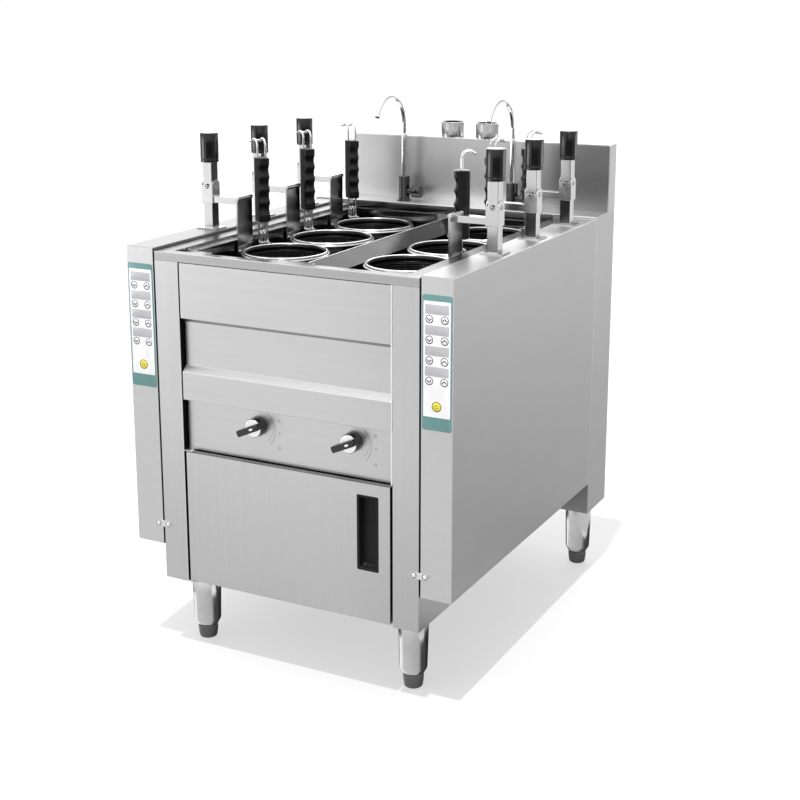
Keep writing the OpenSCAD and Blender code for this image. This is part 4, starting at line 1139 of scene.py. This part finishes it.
@dataclass
class Keypad:
    """Printed film on each side box: four display windows, eight keys and one yellow key."""

    bench: Bench
    width: float = 56.0
    low: float = 526.0
    high: float = 764.0
    thick: float = 0.8
    centre_x: float = 308.5
    top_band: float = 11.0
    bottom_band: float = 24.0
    rows: tuple = (721.5, 685.5, 649.5, 613.4)
    window_w: float = 45.0
    window_h: float = 17.0
    window_rise: float = 17.2
    key_r: float = 7.4
    key_in: float = 5.9
    key_x: float = 14.4
    yellow_z: float = 569.0
    yellow_r: float = 9.0
    yellow_in: float = 7.6
    arrow: tuple = (4.2, 2.4)
    arc_r: float = 3.4
    arc_turn: tuple = (125, 415)

    def layers(self, side: int) -> list:
        """The print of one keypad as thin layers.

        Args:
            side: 1 for right, -1 for left.

        Returns:
            (Skin, Finish) pairs.
        """
        middle = (self.low + self.high) / 2
        base = facing_front(side * self.centre_x, 0, middle)
        height = self.high - self.low
        white_low, white_high = self.low + self.bottom_band, self.high - self.top_band
        white = base.shifted(0, (white_low + white_high) / 2 - middle, 0)
        t = self.thick
        made = [
            (slab(self.width, height, 0, t, 4.0, 0.4, base), TEAL),
            (slab(self.width - 5, white_high - white_low, t - 0.1, t + 0.06, 2.0, 0.03, white), FILM),
        ]
        dome = [(0.05, t - 0.1), (self.key_in, t), (self.key_in - 0.2, t + 0.2),
                (0.6 * self.key_r, t + 0.5), (0.05, t + 0.55)]
        wide, high = self.arrow
        for z in self.rows:
            window = base.shifted(0, z + self.window_rise - middle, 0)
            made.append((slab(self.window_w, self.window_h, t, t + 0.10, 1.5, 0.04, window), DISPLAY))
            for k in (-1, 1):
                key = base.shifted(k * self.key_x, z - middle, 0)
                arrow = eased([(-wide, -0.7 * k * high), (0, k * high), (wide, -0.7 * k * high)], 0.5)
                made += [(washer(self.key_in, self.key_r, t, t + 0.16, key, 32), KEY_EDGE),
                         (lathe(dome, key, 32), FILM),
                         (ribbon(arrow, 1.8, t + 0.4, t + 0.64, key), KEY_EDGE)]
        stop = base.shifted(0, self.yellow_z - middle, 0)
        dome = [(0.05, t - 0.1), (self.yellow_in, t), (self.yellow_in - 0.3, t + 0.3),
                (0.6 * self.yellow_r, t + 0.6), (0.05, t + 0.65)]
        turn = np.radians(np.linspace(*self.arc_turn, 18))
        arc = self.arc_r * np.column_stack([np.cos(turn), np.sin(turn)])
        stroke = [(0, 1.0), (0, 2.7), (0, 4.4)]
        made += [(washer(self.yellow_in, self.yellow_r, t, t + 0.2, stop, 32), KEY_EDGE),
                 (lathe(dome, stop, 36), YELLOW)]
        made += [(ribbon(line, 1.0, t + 0.4, t + 0.75, stop), KEY_EDGE) for line in (arc, stroke)]
        return made

    def build(self) -> None:
        """Both keypads as one piece."""
        self.bench.piece("keypads_printed", self.layers(-1) + self.layers(1), "cabinet", "keypad_film",
                         ["membranes"])


@dataclass
class Knobs:
    """Two gas knobs and the plain marks printed round them."""

    bench: Bench
    xs: tuple = (-63.0, 137.0)
    z: float = 478.0
    panel_y: float = 13.0
    skirt_r: float = 18.5
    face_y: float = -5.0
    bar_l: float = 49.5
    bar_w: float = 12.5
    bar_top: float = 17.0
    bar_mid: float = -6.25
    turn: float = 24.0
    spindle_r: float = 4.0
    spindle_l: float = 30.0
    mark_l: float = 7.5
    mark_w: float = 3.6
    mark_x: float = 9.5
    arc_turn: float = 50.0
    arcs: tuple = ((33.0, 33.0, 0.5), (34.0, 41.0, 0.8))
    spots: tuple = ((46.0, 16.0, 5.0), (46.0, -8.0, 4.0), (46.0, -37.0, 5.0))

    def knob(self, name: str, x: float) -> None:
        """One knob: black skirt, pale turned face and the pointer bar with its white mark.

        Args:
            name: the knob's node, which is also its body.
            x: where its spindle stands.
        """
        depth = self.panel_y - self.face_y
        seat = facing_front(x, self.panel_y, self.z)
        skirt = eased([(HUB, 1.0), (self.skirt_r, 1.0), (self.skirt_r, 7.0), (self.skirt_r - 0.8, 12.0),
                       (self.skirt_r - 1.0, depth), (HUB, depth)], 1.4, 5)
        face_r = self.skirt_r - 1.8
        face = eased([(HUB, depth - 1), (face_r, depth - 1), (face_r, depth + 0.5),
                      (face_r - 2.6, depth + 0.9), (HUB, depth + 0.7)], 0.6, 4)
        a = math.radians(self.turn)
        tilted = Seat(seat.origin, (math.cos(a), 0, math.sin(a)), (-math.sin(a), 0, math.cos(a)), seat.w)
        bar = tilted.shifted(self.bar_mid, 0, 0)
        mark = bar.shifted(self.mark_x, 0, 0)
        top = self.panel_y + self.bar_top
        self.bench.piece(name + "_turned", [
            (lathe(skirt, seat, 64), GLOSS_BLACK), (lathe(face, seat, 64), KNOB_FACE),
            (rod(self.spindle_r, -self.spindle_l, 2.0, seat, 24), BRASS),
            (slab(self.bar_l, self.bar_w, depth - 6, top, 3.2, 2.2, bar), GLOSS_BLACK),
            (slab(self.mark_l, self.mark_w, top - 0.5, top + 0.15, 0.8, 0.1, mark), WHITE_MARK),
        ], name, "black_plastic", [name])

    def marks(self) -> None:
        """A double arc that widens to the right of each knob, and three small rings beside it.

        Each arc is (radius at the top, radius at the bottom, width), each ring (x, z, size).
        """
        made = []
        for x in self.xs:
            seat = facing_front(x, self.panel_y, self.z)
            turn = np.radians(np.linspace(self.arc_turn, -self.arc_turn, 24))
            for inner, outer, wide in self.arcs:
                r = np.linspace(inner, outer, 24)
                line = np.column_stack([r * np.cos(turn), r * np.sin(turn)])
                made.append(ribbon(line, wide, 0, 0.12, seat))
            for dx, dz, size in self.spots:
                spot = seat.shifted(dx, dz, 0)
                made.append(washer(0.55 * size - 0.8, 0.55 * size, 0, 0.12, spot, 20))
        self.bench.piece("control_marks", [(Skin.join(made), GREY_MARK)], "cabinet", "black_plastic")

    def build(self) -> None:
        """Both knobs, then the print."""
        for name, x in zip(("knob_left", "knob_right"), self.xs):
            self.knob(name, x)
        self.marks()


@dataclass
class Pull:
    """Black recessed pull in the door: a bevelled frame round a pocket with a curved back."""

    bench: Bench
    x: float = 173.0
    z: float = 314.5
    wide: float = 44.0
    high: float = 143.0
    pocket_w: float = 33.8
    pocket_h: float = 132.8
    deep: float = 17.0
    proud: float = 0.8

    def build(self) -> None:
        """Rows of rounded rectangles run from the frame's back over its lip and into the pocket.

        Each row is (added to both sizes, height along w, corner radius).
        """
        seat = facing_front(self.x, 0, self.z)
        frame_rows = [(-6.2, -self.deep, 2.0), (-6.2, -0.1, 2.0), (0.0, 0.0, 2.5), (0.0, 0.3, 2.5),
                      (-1.2, self.proud, 2.2)]
        pocket_rows = [(2.6, self.proud, 1.8), (0.6, 0.0, 1.6), (0.0, -2.0, 1.6), (-1.0, -11.0, 2.5),
                       (-5.0, -14.6, 4.0), (-14.0, -15.0, 4.0)]
        points = [np.column_stack([rounded(w + more, h + more, r), np.full(20, d)])
                  for w, h, rows in ((self.wide, self.high, frame_rows),
                                     (self.pocket_w, self.pocket_h, pocket_rows))
                  for more, d, r in rows]
        self.bench.piece("door_pull_moulded", [(grid(seat.at(np.stack(points))).outward(), BLACK)],
                         "door", "black_plastic", ["door_pull"], sharp=30)


@dataclass
class Taps:
    """Two water taps on the deck: body, side valve with its handle, and the swivel spout."""

    bench: Bench
    x: float = 131.0
    y: float = 735.0
    deck: float = 798.0
    height: float = 55.0
    body_r: float = 12.5
    flange_r: float = 16.5
    tail_r: float = 7.9
    tail_l: float = 30.0
    boss_r: float = 7.0
    boss_l: float = 8.0
    valve_z: float = 22.0
    handle_r: float = 13.5
    handle_l: float = 22.0
    stem_r: float = 4.0
    stem_l: float = 11.5
    pin_r: float = 6.0
    pin_l: float = 25.5
    collar_r: float = 6.5
    collar_h: float = 96.0
    pipe_r: float = 5.0
    arch_r: float = 66.0
    arch_z: float = 967.0
    arch_turn: float = 152.0
    tip_r: float = 6.0
    tip_l: float = 6.0
    flutes: int = 12
    flute_deep: float = 0.012

    def bodies(self) -> None:
        """Tap bodies: a flange, a waisted barrel and a boss for the side valve."""
        h, r = self.height, self.body_r
        barrel = eased([(HUB, -self.tail_l), (self.tail_r, -self.tail_l), (self.tail_r, 0),
                        (self.flange_r, 0.05), (self.flange_r, 1.4), (r, 2.0), (r, h), (6.2, h),
                        (HUB, h)], 0.8, 5)
        reach = r + self.boss_l
        boss = eased([(HUB, 0), (self.boss_r, 0), (self.boss_r, reach), (HUB, reach)], 1.0)
        skins = []
        for s in SIDES.values():
            foot = Seat((s * self.x, self.y, self.deck))
            skins += [lathe(barrel, foot, 64),
                      lathe(boss, facing_side(1, s * self.x, self.y, self.deck + self.valve_z), 40)]
        self.bench.piece("tap_bodies_turned", [(Skin.join(skins), TAP_BODY)],
                         "cabinet", "chrome", ["tap_bodies"])

    def handle(self, name: str, s: int) -> None:
        """A side valve handle: a cylinder with faint flutes, its stem and a darker turned end.

        Where the radius passes 10 mm it is cut by up to flute_deep times (1 - cos(flutes a)) / 2.

        Args:
            name: the handle's node, which is also its body.
            s: 1 for right, -1 for left.
        """
        start = s * self.x + self.body_r + self.boss_l
        seat = facing_side(1, start, self.y, self.deck + self.valve_z)
        r, l = self.handle_r, self.handle_l
        p = eased([(HUB, 0.4), (r - 1.0, 0.4), (r, 1.4), (r, l - 1.2), (r - 1.2, l - 0.2),
                   (HUB, l - 0.2)], 0.8, 5)
        wave = 0.5 - 0.5 * np.cos(self.flutes * circle(96)[None, :])
        flute = 1 - self.flute_deep * np.clip((p[:, :1] - 10) / 3, 0, 1) * wave
        barrel = grid(seat.at(revolved(p, 96, flute))).outward()
        end = eased([(HUB, l - 0.6), (r - 2.2, l - 0.6), (r - 2.4, l), (0.3 * r, l),
                     (0.2 * r, l - 0.4), (HUB, l - 0.4)], 0.4)
        self.bench.piece(name + "_turned", [
            (barrel, TAP_BODY), (rod(self.stem_r, -self.stem_l, 1.0, seat, 24), CHROME),
            (lathe(end, seat, 64), TURNED_END)], name, "chrome", [name])

    def spout(self, name: str, s: int) -> None:
        """A swivel spout: collar, riser and arch as one bar along a line, and the outlet with its plug.

        Args:
            name: the spout's node, which is also its body.
            s: 1 for right, -1 for left.
        """
        x, top = s * self.x, self.deck + self.height
        seat = Seat((x, self.y, top))
        h, r = self.collar_h, self.collar_r
        collar = eased([(HUB, -self.pin_l), (self.pin_r, -self.pin_l), (self.pin_r, 0.3), (r, 0.35),
                        (r, h - 1.5), (self.pipe_r + 0.4, h), (HUB, h)], 0.8, 4)
        end = math.radians(self.arch_turn)
        turn = np.linspace(0, end, 60)
        arch = np.column_stack([np.full(60, x), self.y - self.arch_r + self.arch_r * np.cos(turn),
                                self.arch_z + self.arch_r * np.sin(turn)])
        riser = np.linspace((x, self.y, top + h - 4), (x, self.y, self.arch_z), 9)[:8]
        across, along = (1, 0, 0), np.array([0, -math.sin(end), math.cos(end)])
        tip = arch[-1] + np.outer([-0.5, 0.0, 0.6, self.tip_l - 0.8, self.tip_l], along)
        tip_r = np.array([self.pipe_r, self.tip_r - 0.4, self.tip_r, self.tip_r, self.tip_r - 0.8])
        mouth = Seat(tuple(tip[-1]), across, tuple(np.cross(along, across)), tuple(along))
        self.bench.piece(name + "_bent", [
            (lathe(collar, seat, 48), CHROME),
            (tube(np.vstack([riser, arch]), self.pipe_r, across, 28), CHROME),
            (tube(tip, tip_r, across, 28), CHROME),
            (rod(self.tip_r - 1.6, 0, 0.3, mouth, 24), BLACK),
        ], name, "chrome", [name])

    def build(self) -> None:
        """Bodies, then handles and spouts on both sides."""
        self.bodies()
        for side, s in SIDES.items():
            self.handle("tap_handle_" + side, s)
            self.spout("spout_" + side, s)


@dataclass
class Lift:
    """One lift: square post, black round cap and the arm with its clamp screws."""

    bench: Bench
    side: str
    place: str
    x: float = 308.5
    cap_low: float = 928.0
    cap_high: float = 986.0
    cap_r: float = 18.0
    clamp: float = 13.1
    screw_z: float = 880.5
    screw_r: float = 3.5
    screw_h: float = 2.5

    def build(self) -> None:
        """Post and arm keep the CAD shapes with rounded edges; cap and screw recesses are turned."""
        s, key = SIDES[self.side], self.side + "_" + self.place
        x, y, body = s * self.x, lift_y(self.place), "lift_" + key
        self.bench.softened("post_" + key, BRIGHT, "bright_steel", 1.5, 3)
        self.bench.softened("arm_" + key, ARM, "bright_steel", 0.7)
        low, high, r = self.cap_low, self.cap_high, self.cap_r
        cap = eased([(HUB, low), (r - 0.8, low), (r, low + 0.8), (r, low + 5.0), (r - 0.5, low + 5.6),
                     (r - 0.5, low + 6.4), (r, low + 7.0), (r, high - 0.1), (r - 3.2, high),
                     (HUB, high - 0.6)], 1.6, 5)
        self.bench.piece("cap_%s_moulded" % key, [(lathe(cap, Seat((x, y, 0)), 56), GLOSS_BLACK)],
                         body, "black_plastic", ["cap_" + key])
        # painted shade: flat black hexagons stand for the screw recesses, with black rings round the
        # heads
        r, h = self.screw_r, self.screw_h
        recess = [(0.02, h), (0.55 * r, h), (0.50 * r, h + 0.12), (0.02, h + 0.12)]
        screws = (facing_front(x, y - self.clamp, self.screw_z),
                  facing_side(s, x + s * self.clamp, y, self.screw_z))
        marks = [lathe(recess, seat, 6) for seat in screws]
        marks += [washer(r + 0.05, r + 1.3, -0.3, 0.15, seat, 32) for seat in screws]
        self.bench.piece("clamp_marks_" + key, [(Skin.join(marks), BLACK)], body, "black_plastic")


@dataclass
class Basket:
    """One basket: perforated cup, rim, handle wires with hooks, and the black grip."""

    bench: Bench
    side: str
    place: str
    turn: float
    x: float = 136.0
    cup_r: float = 79.75
    cup_low: float = 612.0
    cup_high: float = 763.0
    corner: float = 14.0
    wall: float = 1.0
    columns: int = 108
    rows: int = 26
    base_cells: int = 16
    hole: float = 0.29
    rim_r: float = 81.5
    rim_z: float = 762.0
    rim_wire: float = 2.5
    handle_r: float = 97.0
    wire: float = 2.0
    gap: float = 18.0
    stay_z: float = 765.0
    hook_z: float = 959.0
    hook_r: float = 13.0
    hook_turn: float = 140.0
    small_r: float = 4.0
    small_gap: float = 7.0
    grip_d: float = 29.5
    grip_w: float = 23.8
    grip_low: float = 808.0
    grip_high: float = 937.0
    grip_r: float = 6.0
    grip_ease: float = 2.5
    hollow: float = 4.0
    hollow_r: float = 17.0
    hollows: int = 4

    def seat(self) -> Seat:
        """On the basket's axis at floor height, with u towards the handle."""
        s, a = SIDES[self.side], math.radians(self.turn)
        return Seat((s * self.x, lift_y(self.place), 0), (s * math.cos(a), math.sin(a), 0),
                    (-s * math.sin(a), math.cos(a), 0))

    def cup(self, seat: Seat) -> Skin:
        """The cup's skin: plain rim band, perforated wall, rounded corner and a perforated floor.

        The wall is a cylinder over (turn, height). The floor carries a square grid (a, b) to a disc
        by a' = a sqrt(1 - b^2 / 2), b' = b sqrt(1 - a^2 / 2).

        Args:
            seat: the basket's axis.

        Returns:
            The open surface, faces outwards.
        """
        low, high = self.cup_low + self.corner + 4, self.cup_high - 12
        step = (high - low) / self.rows

        def wall(u: np.ndarray, v: np.ndarray) -> np.ndarray:
            """Cylinder: u turns, v rises, and each row starts half a cell further on."""
            a = (u + 0.5 * v) * FULL / self.columns
            return np.stack([self.cup_r * np.cos(a), self.cup_r * np.sin(a), low + v * step], -1)

        reach = self.cup_r - self.corner + 1.0

        def base(u: np.ndarray, v: np.ndarray) -> np.ndarray:
            """Square carried to a disc."""
            a, b = 2 * u / self.base_cells - 1, 2 * v / self.base_cells - 1
            return np.stack([reach * a * np.sqrt(1 - b * b / 2), reach * b * np.sqrt(1 - a * a / 2),
                             np.full(np.shape(a * b), self.cup_low + 0.25)], -1)

        arc = [(self.cup_r - self.corner + self.corner * math.sin(k),
                self.cup_low + self.corner - self.corner * math.cos(k))
               for k in np.linspace(0, math.pi / 2, 7)]
        bend = [(reach - 3, self.cup_low)] + arc + [(self.cup_r, low)]
        band = [(self.cup_r, high), (self.cup_r, self.cup_high)]
        skins = [perforated(wall, self.columns, self.rows, self.hole, True),
                 perforated(base, self.base_cells, self.base_cells, self.hole, False)]
        skins += [grid(revolved(np.array(line), 2 * self.columns), caps=False) for line in (bend, band)]
        middle = (0, 0, (self.cup_low + self.cup_high) / 2)
        whole = Skin.join([skin.outward(middle) for skin in skins])
        return Skin(seat.at(whole.points), whole.faces).outward(seat.at(np.array(middle)))

    def bend(self, radius: float, height: float, turn: float, steps: int) -> np.ndarray:
        """An arc that starts upwards at the handle and turns away from the cup.

        Point = (handle_r + radius + radius cos a, 0, height + radius sin a), with a from 180
        degrees down by turn.

        Args:
            radius: radius of the arc.
            height: where it starts.
            turn: how far it turns, in degrees.
            steps: number of points.

        Returns:
            Points (steps, 3).
        """
        a = np.radians(180 - np.linspace(0, turn, steps))
        return np.column_stack([self.handle_r + radius + radius * np.cos(a), 0 * a,
                                height + radius * np.sin(a)])

    def wires(self, seat: Seat) -> Skin:
        """Rim, the two handle wires with their hooks, the two small hooks and the cross bars.

        Args:
            seat: the basket's axis.

        Returns:
            The closed surfaces as one.
        """
        rim = revolved(np.array([(self.rim_r, self.rim_z)]), 96)[0]
        skins = [tube(seat.at(rim), self.rim_wire, seat.w, 12, closed=True)]
        r, foot = self.handle_r, self.stay_z
        stay = eased([(self.rim_r - 1, 0, foot), (r, 0, foot), (r, 0, foot + 20)], 6.0, 7)
        riser = [(r, 0, z) for z in np.linspace(800, self.hook_z - 2, 6)]
        hook = self.bend(self.hook_r, self.hook_z, self.hook_turn, 24)
        small = np.vstack([[(r, 0, foot + 1)], self.bend(self.small_r, foot + 18, 180, 13),
                           [(r + 2 * self.small_r, 0, foot + 9)]])
        for k in (-1, 1):
            for path, apart, sides in ((np.vstack([stay, riser, hook]), self.gap, 12),
                                       (small, self.small_gap, 10)):
                skins.append(tube(seat.at(path + [0, k * apart / 2, 0]), self.wire, seat.v, sides))
        taper = np.array([0.7, 1, 1, 1, 1, 1, 1, 0.7])
        for (x, z), half, thick in (((r, foot), self.gap / 2, 1.7),
                                    (hook[-1][[0, 2]], self.gap / 2 + 4, 2.5)):
            bar = np.linspace((x, -half, z), (x, half, z), 8)
            skins.append(tube(seat.at(bar), thick * taper, seat.u, 12))
        return Skin.join(skins)

    def grip(self, seat: Seat) -> Skin:
        """The grip: rounded rectangles stacked upwards, hollowed by arcs on the side of the basket.

        A hollow cuts sqrt(hollow_r^2 - off^2) - hollow_r + hollow deep, off its middle by off.

        Args:
            seat: the basket's axis.

        Returns:
            The closed surface.
        """
        z = np.linspace(self.grip_low, self.grip_high, 90)
        step = (self.grip_high - self.grip_low) / (self.hollows + 1)
        centres = self.grip_low + step * np.arange(1, self.hollows + 1)
        off = np.min(np.abs(z[:, None] - centres), 1)
        sag = np.sqrt(np.clip(self.hollow_r ** 2 - off ** 2, 0, None))
        dip = np.clip(sag - self.hollow_r + self.hollow, 0, None)
        near, e = np.minimum(z - self.grip_low, self.grip_high - z), self.grip_ease
        shrink = e - np.sqrt(np.clip(e ** 2 - np.clip(e - near, 0, None) ** 2, 0, None))
        rows = []
        for height, d, i in zip(z, dip, shrink):
            line = rounded(self.grip_d - d - 2 * i, self.grip_w - 2 * i, self.grip_r, 6)
            rows.append(np.column_stack([line[:, 0] + self.handle_r + d / 2, line[:, 1],
                                         np.full(len(line), height)]))
        return grid(seat.at(np.stack(rows))).outward()

    def build(self) -> None:
        """Cup, wires and grip."""
        key = self.side + "_" + self.place
        seat, body = self.seat(), "basket_" + key
        # painted shade on the cup, darker inside
        self.bench.piece("cup_" + key, [(self.cup(seat), CUP_IN_SHADE)], body, "wire_steel", wall=self.wall,
                         sharp=35, inside=CUP_INSIDE_SHADE)
        self.bench.piece("wires_" + key, [(self.wires(seat), WIRE)], body, "wire_steel",
                         ["basket_" + key], sharp=50)
        self.bench.piece("grip_%s_moulded" % key, [(self.grip(seat), GRIP)], body, "black_plastic",
                         ["grip_" + key], sharp=30)


# ------------------------------------------------------------------ studio
@dataclass(frozen=True)
class Cards:
    """Light of the studio by compass direction: bright cards with dark gaps between them.

    The stops are (turn, share of the peak) pairs, with turn 0.25 in front, 0.5 at the right and
    0.75 behind.
    """

    peak: float
    stops: tuple

    def light(self, shader: Shader, direction: Signal) -> Signal:
        """The strength in a direction.

        Args:
            shader: the tree.
            direction: a vector that points away from the object.

        Returns:
            The strength.
        """
        x, y = [shader.part(direction, axis) for axis in "XY"]
        turn = shader.maths("ARCTAN2", y, x) / FULL + 0.5
        stops = [(place, rgb(grey(share))) for place, share in self.stops]
        ramp = shader.node("ShaderNodeValToRGB", {"stops": stops}, {0: turn})
        return shader.node("ShaderNodeRGBToBW", {}, {0: ramp}) * self.peak


FAR_CARDS = Cards(1.5, (
    (0.0, 0.37), (0.03, 0.10), (0.07, 0.40), (0.11, 0.65), (0.175, 0.69), (0.25, 0.67), (0.33, 0.60),
    (0.42, 0.53), (0.47, 0.50), (0.52, 0.50), (0.57, 0.50), (0.61, 0.50), (0.645, 0.52), (0.674, 0.58),
    (0.72, 0.62), (0.78, 0.80), (0.86, 0.87), (0.90, 0.60), (0.93, 0.20), (0.955, 0.07), (0.98, 0.27),
    (1.0, 0.37)))
HIGH_CARDS = Cards(4.0, (
    (0.0, 0.28), (0.175, 0.28), (0.33, 0.28), (0.50, 0.22), (0.62, 0.19), (0.66, 0.15), (0.69, 0.08),
    (0.715, 0.08), (0.745, 0.95), (0.822, 0.95), (0.838, 0.60), (0.90, 0.56), (0.94, 0.38), (1.0, 0.28)))
OUTER_CARDS = Cards(4.0, (
    (0.0, 0.10), (0.035, 0.12), (0.055, 1.0), (0.12, 1.0), (0.145, 0.25), (0.205, 0.25), (0.235, 0.03),
    (0.44, 0.03), (0.47, 0.10), (0.56, 0.12), (0.58, 0.80), (0.63, 0.80), (0.65, 0.23), (0.72, 0.23),
    (0.76, 0.50), (0.88, 0.50), (0.91, 0.22), (0.93, 0.08), (1.0, 0.10)))
LEG_CARDS = Cards(1.4, (
    (0.0, 0.90), (0.055, 0.92), (0.075, 0.62), (0.12, 0.55), (0.20, 0.52), (0.33, 0.47), (0.44, 0.40),
    (0.475, 0.12), (0.50, 0.06), (0.60, 0.05), (0.63, 0.02), (0.72, 0.02), (0.80, 0.10), (0.85, 0.03),
    (0.93, 0.03), (0.955, 0.85), (1.0, 0.90)))


def turned_to(ahead: Vector) -> Any:
    """The turn of a lamp or camera that looks ahead."""
    return ahead.to_track_quat("-Z", "Y").to_euler()


@dataclass
class Studio:
    """Pale floor, soft light from all round, and the camera of the photograph, in metres.

    Polished legs mirror the floor round themselves and flat sheets mirror it further away, so the
    floor shows them cards of their own within a small reach of each leg (near) and up to the edges
    of the object (edge_x, edge_y), and a brighter ring beyond outer.
    """

    floor_half: float = 30.0
    shade: float = 0.28
    glow: float = 0.54
    legs_x: float = 0.23
    legs_y: float = 0.335
    legs_pitch: float = 0.695
    near: tuple = (0.26, 0.32)
    edge_x: tuple = (0.46, 0.50)
    edge_y: tuple = (0.64, 0.68)
    outer: tuple = (4.3, 4.8)
    raised: tuple = (0.04, 0.15)
    zenith: tuple = (0.75, 0.95)
    overhead: float = 1.4
    sun: float = 2.8
    sun_width: float = 1.2
    sun_way: tuple = (-0.03, 0.26, -1.0)
    card: float = 12.0
    card_size: float = 2.4
    card_at: tuple = (-2.4, -3.2, 2.6)
    card_aim: tuple = (0.0, 0.0, 0.6)
    camera_at: tuple = (1.31854, -2.49638, 1.26586)
    yaw: float = 0.4769
    pitch: float = 0.2304
    lens: float = 63.92
    shift_y: float = -0.1

    def emitted(self, shader: Shader, kind: str, strength: Signal) -> Signal:
        """White light of a strength, from a node that gives it off."""
        return shader.node(kind, {}, {"Color": shader.scaled((1, 1, 1), strength)})

    def world(self) -> None:
        """White for the camera; for all other rays the cards by height, and light overhead."""
        world = bpy.data.worlds.new("studio")
        bpy.context.scene.world = world
        world.use_nodes = True
        shader = Shader(world.node_tree)
        direction = shader.coords("Generated")
        up = shader.part(direction, "Z")
        low = FAR_CARDS.light(shader, direction)
        high = HIGH_CARDS.light(shader, direction)
        raised, zenith = shader.span(up, *self.raised), shader.span(up, *self.zenith)
        light = (low * (1 - raised) + high * raised) * (1 - zenith) + zenith * self.overhead
        seen = shader.node("ShaderNodeLightPath", output="Is Camera Ray")
        strength = seen + (1 - seen) * light
        shader.end("ShaderNodeOutputWorld", self.emitted(shader, "ShaderNodeBackground", strength))

    def cards(self, shader: Shader) -> Signal:
        """What the floor shows to glossy rays: cards round each leg, then further out, then the rim.

        Args:
            shader: the floor's tree.

        Returns:
            The strength.
        """
        place = shader.coords()
        outer = shader.span(shader.length(place), *self.outer)
        x, y = [shader.part(place, axis) for axis in "XY"]
        half, pitch = self.legs_x, self.legs_pitch
        beside = shader.node("ShaderNodeCombineXYZ", {}, {
            "X": shader.maths("WRAP", x - half, half, -half),
            "Y": shader.maths("WRAP", y + self.legs_y, pitch / 2, -pitch / 2)})
        away = [shader.span(shader.length(beside), *self.near)]
        away += [shader.span(shader.maths("ABSOLUTE", axis), *edge)
                 for axis, edge in ((x, self.edge_x), (y, self.edge_y))]
        far = 1 - (1 - away[0]) * (1 - away[1]) * (1 - away[2])
        return (LEG_CARDS.light(shader, beside) * (1 - far)
                + FAR_CARDS.light(shader, place) * far * (1 - outer)
                + OUTER_CARDS.light(shader, place) * outer)

    def floor(self) -> None:
        """A wide plane that is white where no shadow falls, and shows glossy rays the cards."""
        h = self.floor_half
        mesh = bpy.data.meshes.new("studio_floor")
        mesh.from_pydata([(-h, -h, 0), (h, -h, 0), (h, h, 0), (-h, h, 0)], [], [(0, 1, 2, 3)])
        plane = bpy.data.objects.new("studio_floor", mesh)
        bpy.context.scene.collection.objects.link(plane)
        material = bpy.data.materials.new("studio floor")
        material.use_nodes = True
        shader = Shader(material.node_tree)
        seen = shader.node("ShaderNodeLightPath", output="Is Camera Ray")
        mirrored = shader.node("ShaderNodeLightPath", output="Is Glossy Ray")
        diffuse = shader.node("ShaderNodeBsdfDiffuse", {}, {"Color": rgb(grey(self.shade))})
        glow = self.emitted(shader, "ShaderNodeEmission", seen * self.glow)
        plain = shader.node("ShaderNodeAddShader", {}, {0: diffuse, 1: glow})
        mirror = self.emitted(shader, "ShaderNodeEmission", self.cards(shader))
        shader.end("ShaderNodeOutputMaterial",
                   shader.node("ShaderNodeMixShader", {}, {0: mirrored, 1: plain, 2: mirror}))
        mesh.materials.append(material)

    def lamps(self) -> None:
        """A sun almost straight above for the shadow, and a large soft lamp from the front left."""
        sun = bpy.data.lights.new("overhead", "SUN")
        sun.energy, sun.angle = self.sun, math.radians(self.sun_width)
        card = bpy.data.lights.new("front_card", "AREA")
        card.shape, card.size, card.energy = "SQUARE", self.card_size, self.card
        way = Vector(self.card_aim) - Vector(self.card_at)
        for light, at, ahead in ((sun, (0, 0, 0), Vector(self.sun_way)), (card, self.card_at, way)):
            lamp = bpy.data.objects.new(light.name, light)
            lamp.location, lamp.rotation_euler = at, turned_to(ahead)
            bpy.context.scene.collection.objects.link(lamp)

    def camera(self) -> None:
        """The photograph's camera: looks down by pitch and to the left by yaw."""
        lens = bpy.data.cameras.new("photograph")
        lens.lens, lens.shift_y = self.lens, self.shift_y
        lens.clip_end = 100.0
        made = bpy.data.objects.new("photograph", lens)
        level = math.cos(self.pitch)
        ahead = Vector((-math.sin(self.yaw) * level, math.cos(self.yaw) * level, -math.sin(self.pitch)))
        made.location, made.rotation_euler = self.camera_at, turned_to(ahead)
        bpy.context.scene.collection.objects.link(made)
        bpy.context.scene.camera = made

    def build(self) -> None:
        """World, floor, lamps and camera."""
        bpy.context.scene.view_settings.view_transform = "Standard"
        self.world()
        self.floor()
        self.lamps()
        self.camera()


def corners(bounds: Sequence) -> list:
    """Two corners as plain lists."""
    return [[float(v) for v in corner] for corner in bounds]


def main() -> None:
    """Builds the sub-assemblies in order."""
    logging.basicConfig(level=logging.INFO, format="%(name)s: %(message)s")
    bench = Bench(frame["nodes"], frame["record"])
    body = Body(bench)
    body.sheets()
    body.bolts()
    body.latches()
    body.gap_light_and_shade()
    body.edge_light_and_shade()
    body.flues()
    Legs(bench).build()
    Keypad(bench).build()
    Knobs(bench).build()
    Pull(bench).build()
    Taps(bench).build()
    for side, angles in HANDLE_TURNS.items():
        for place, turn in zip(PLACES, angles):
            Lift(bench, side, place).build()
            Basket(bench, side, place, turn).build()
    Studio().build()


if __name__ == "__main__":
    main()
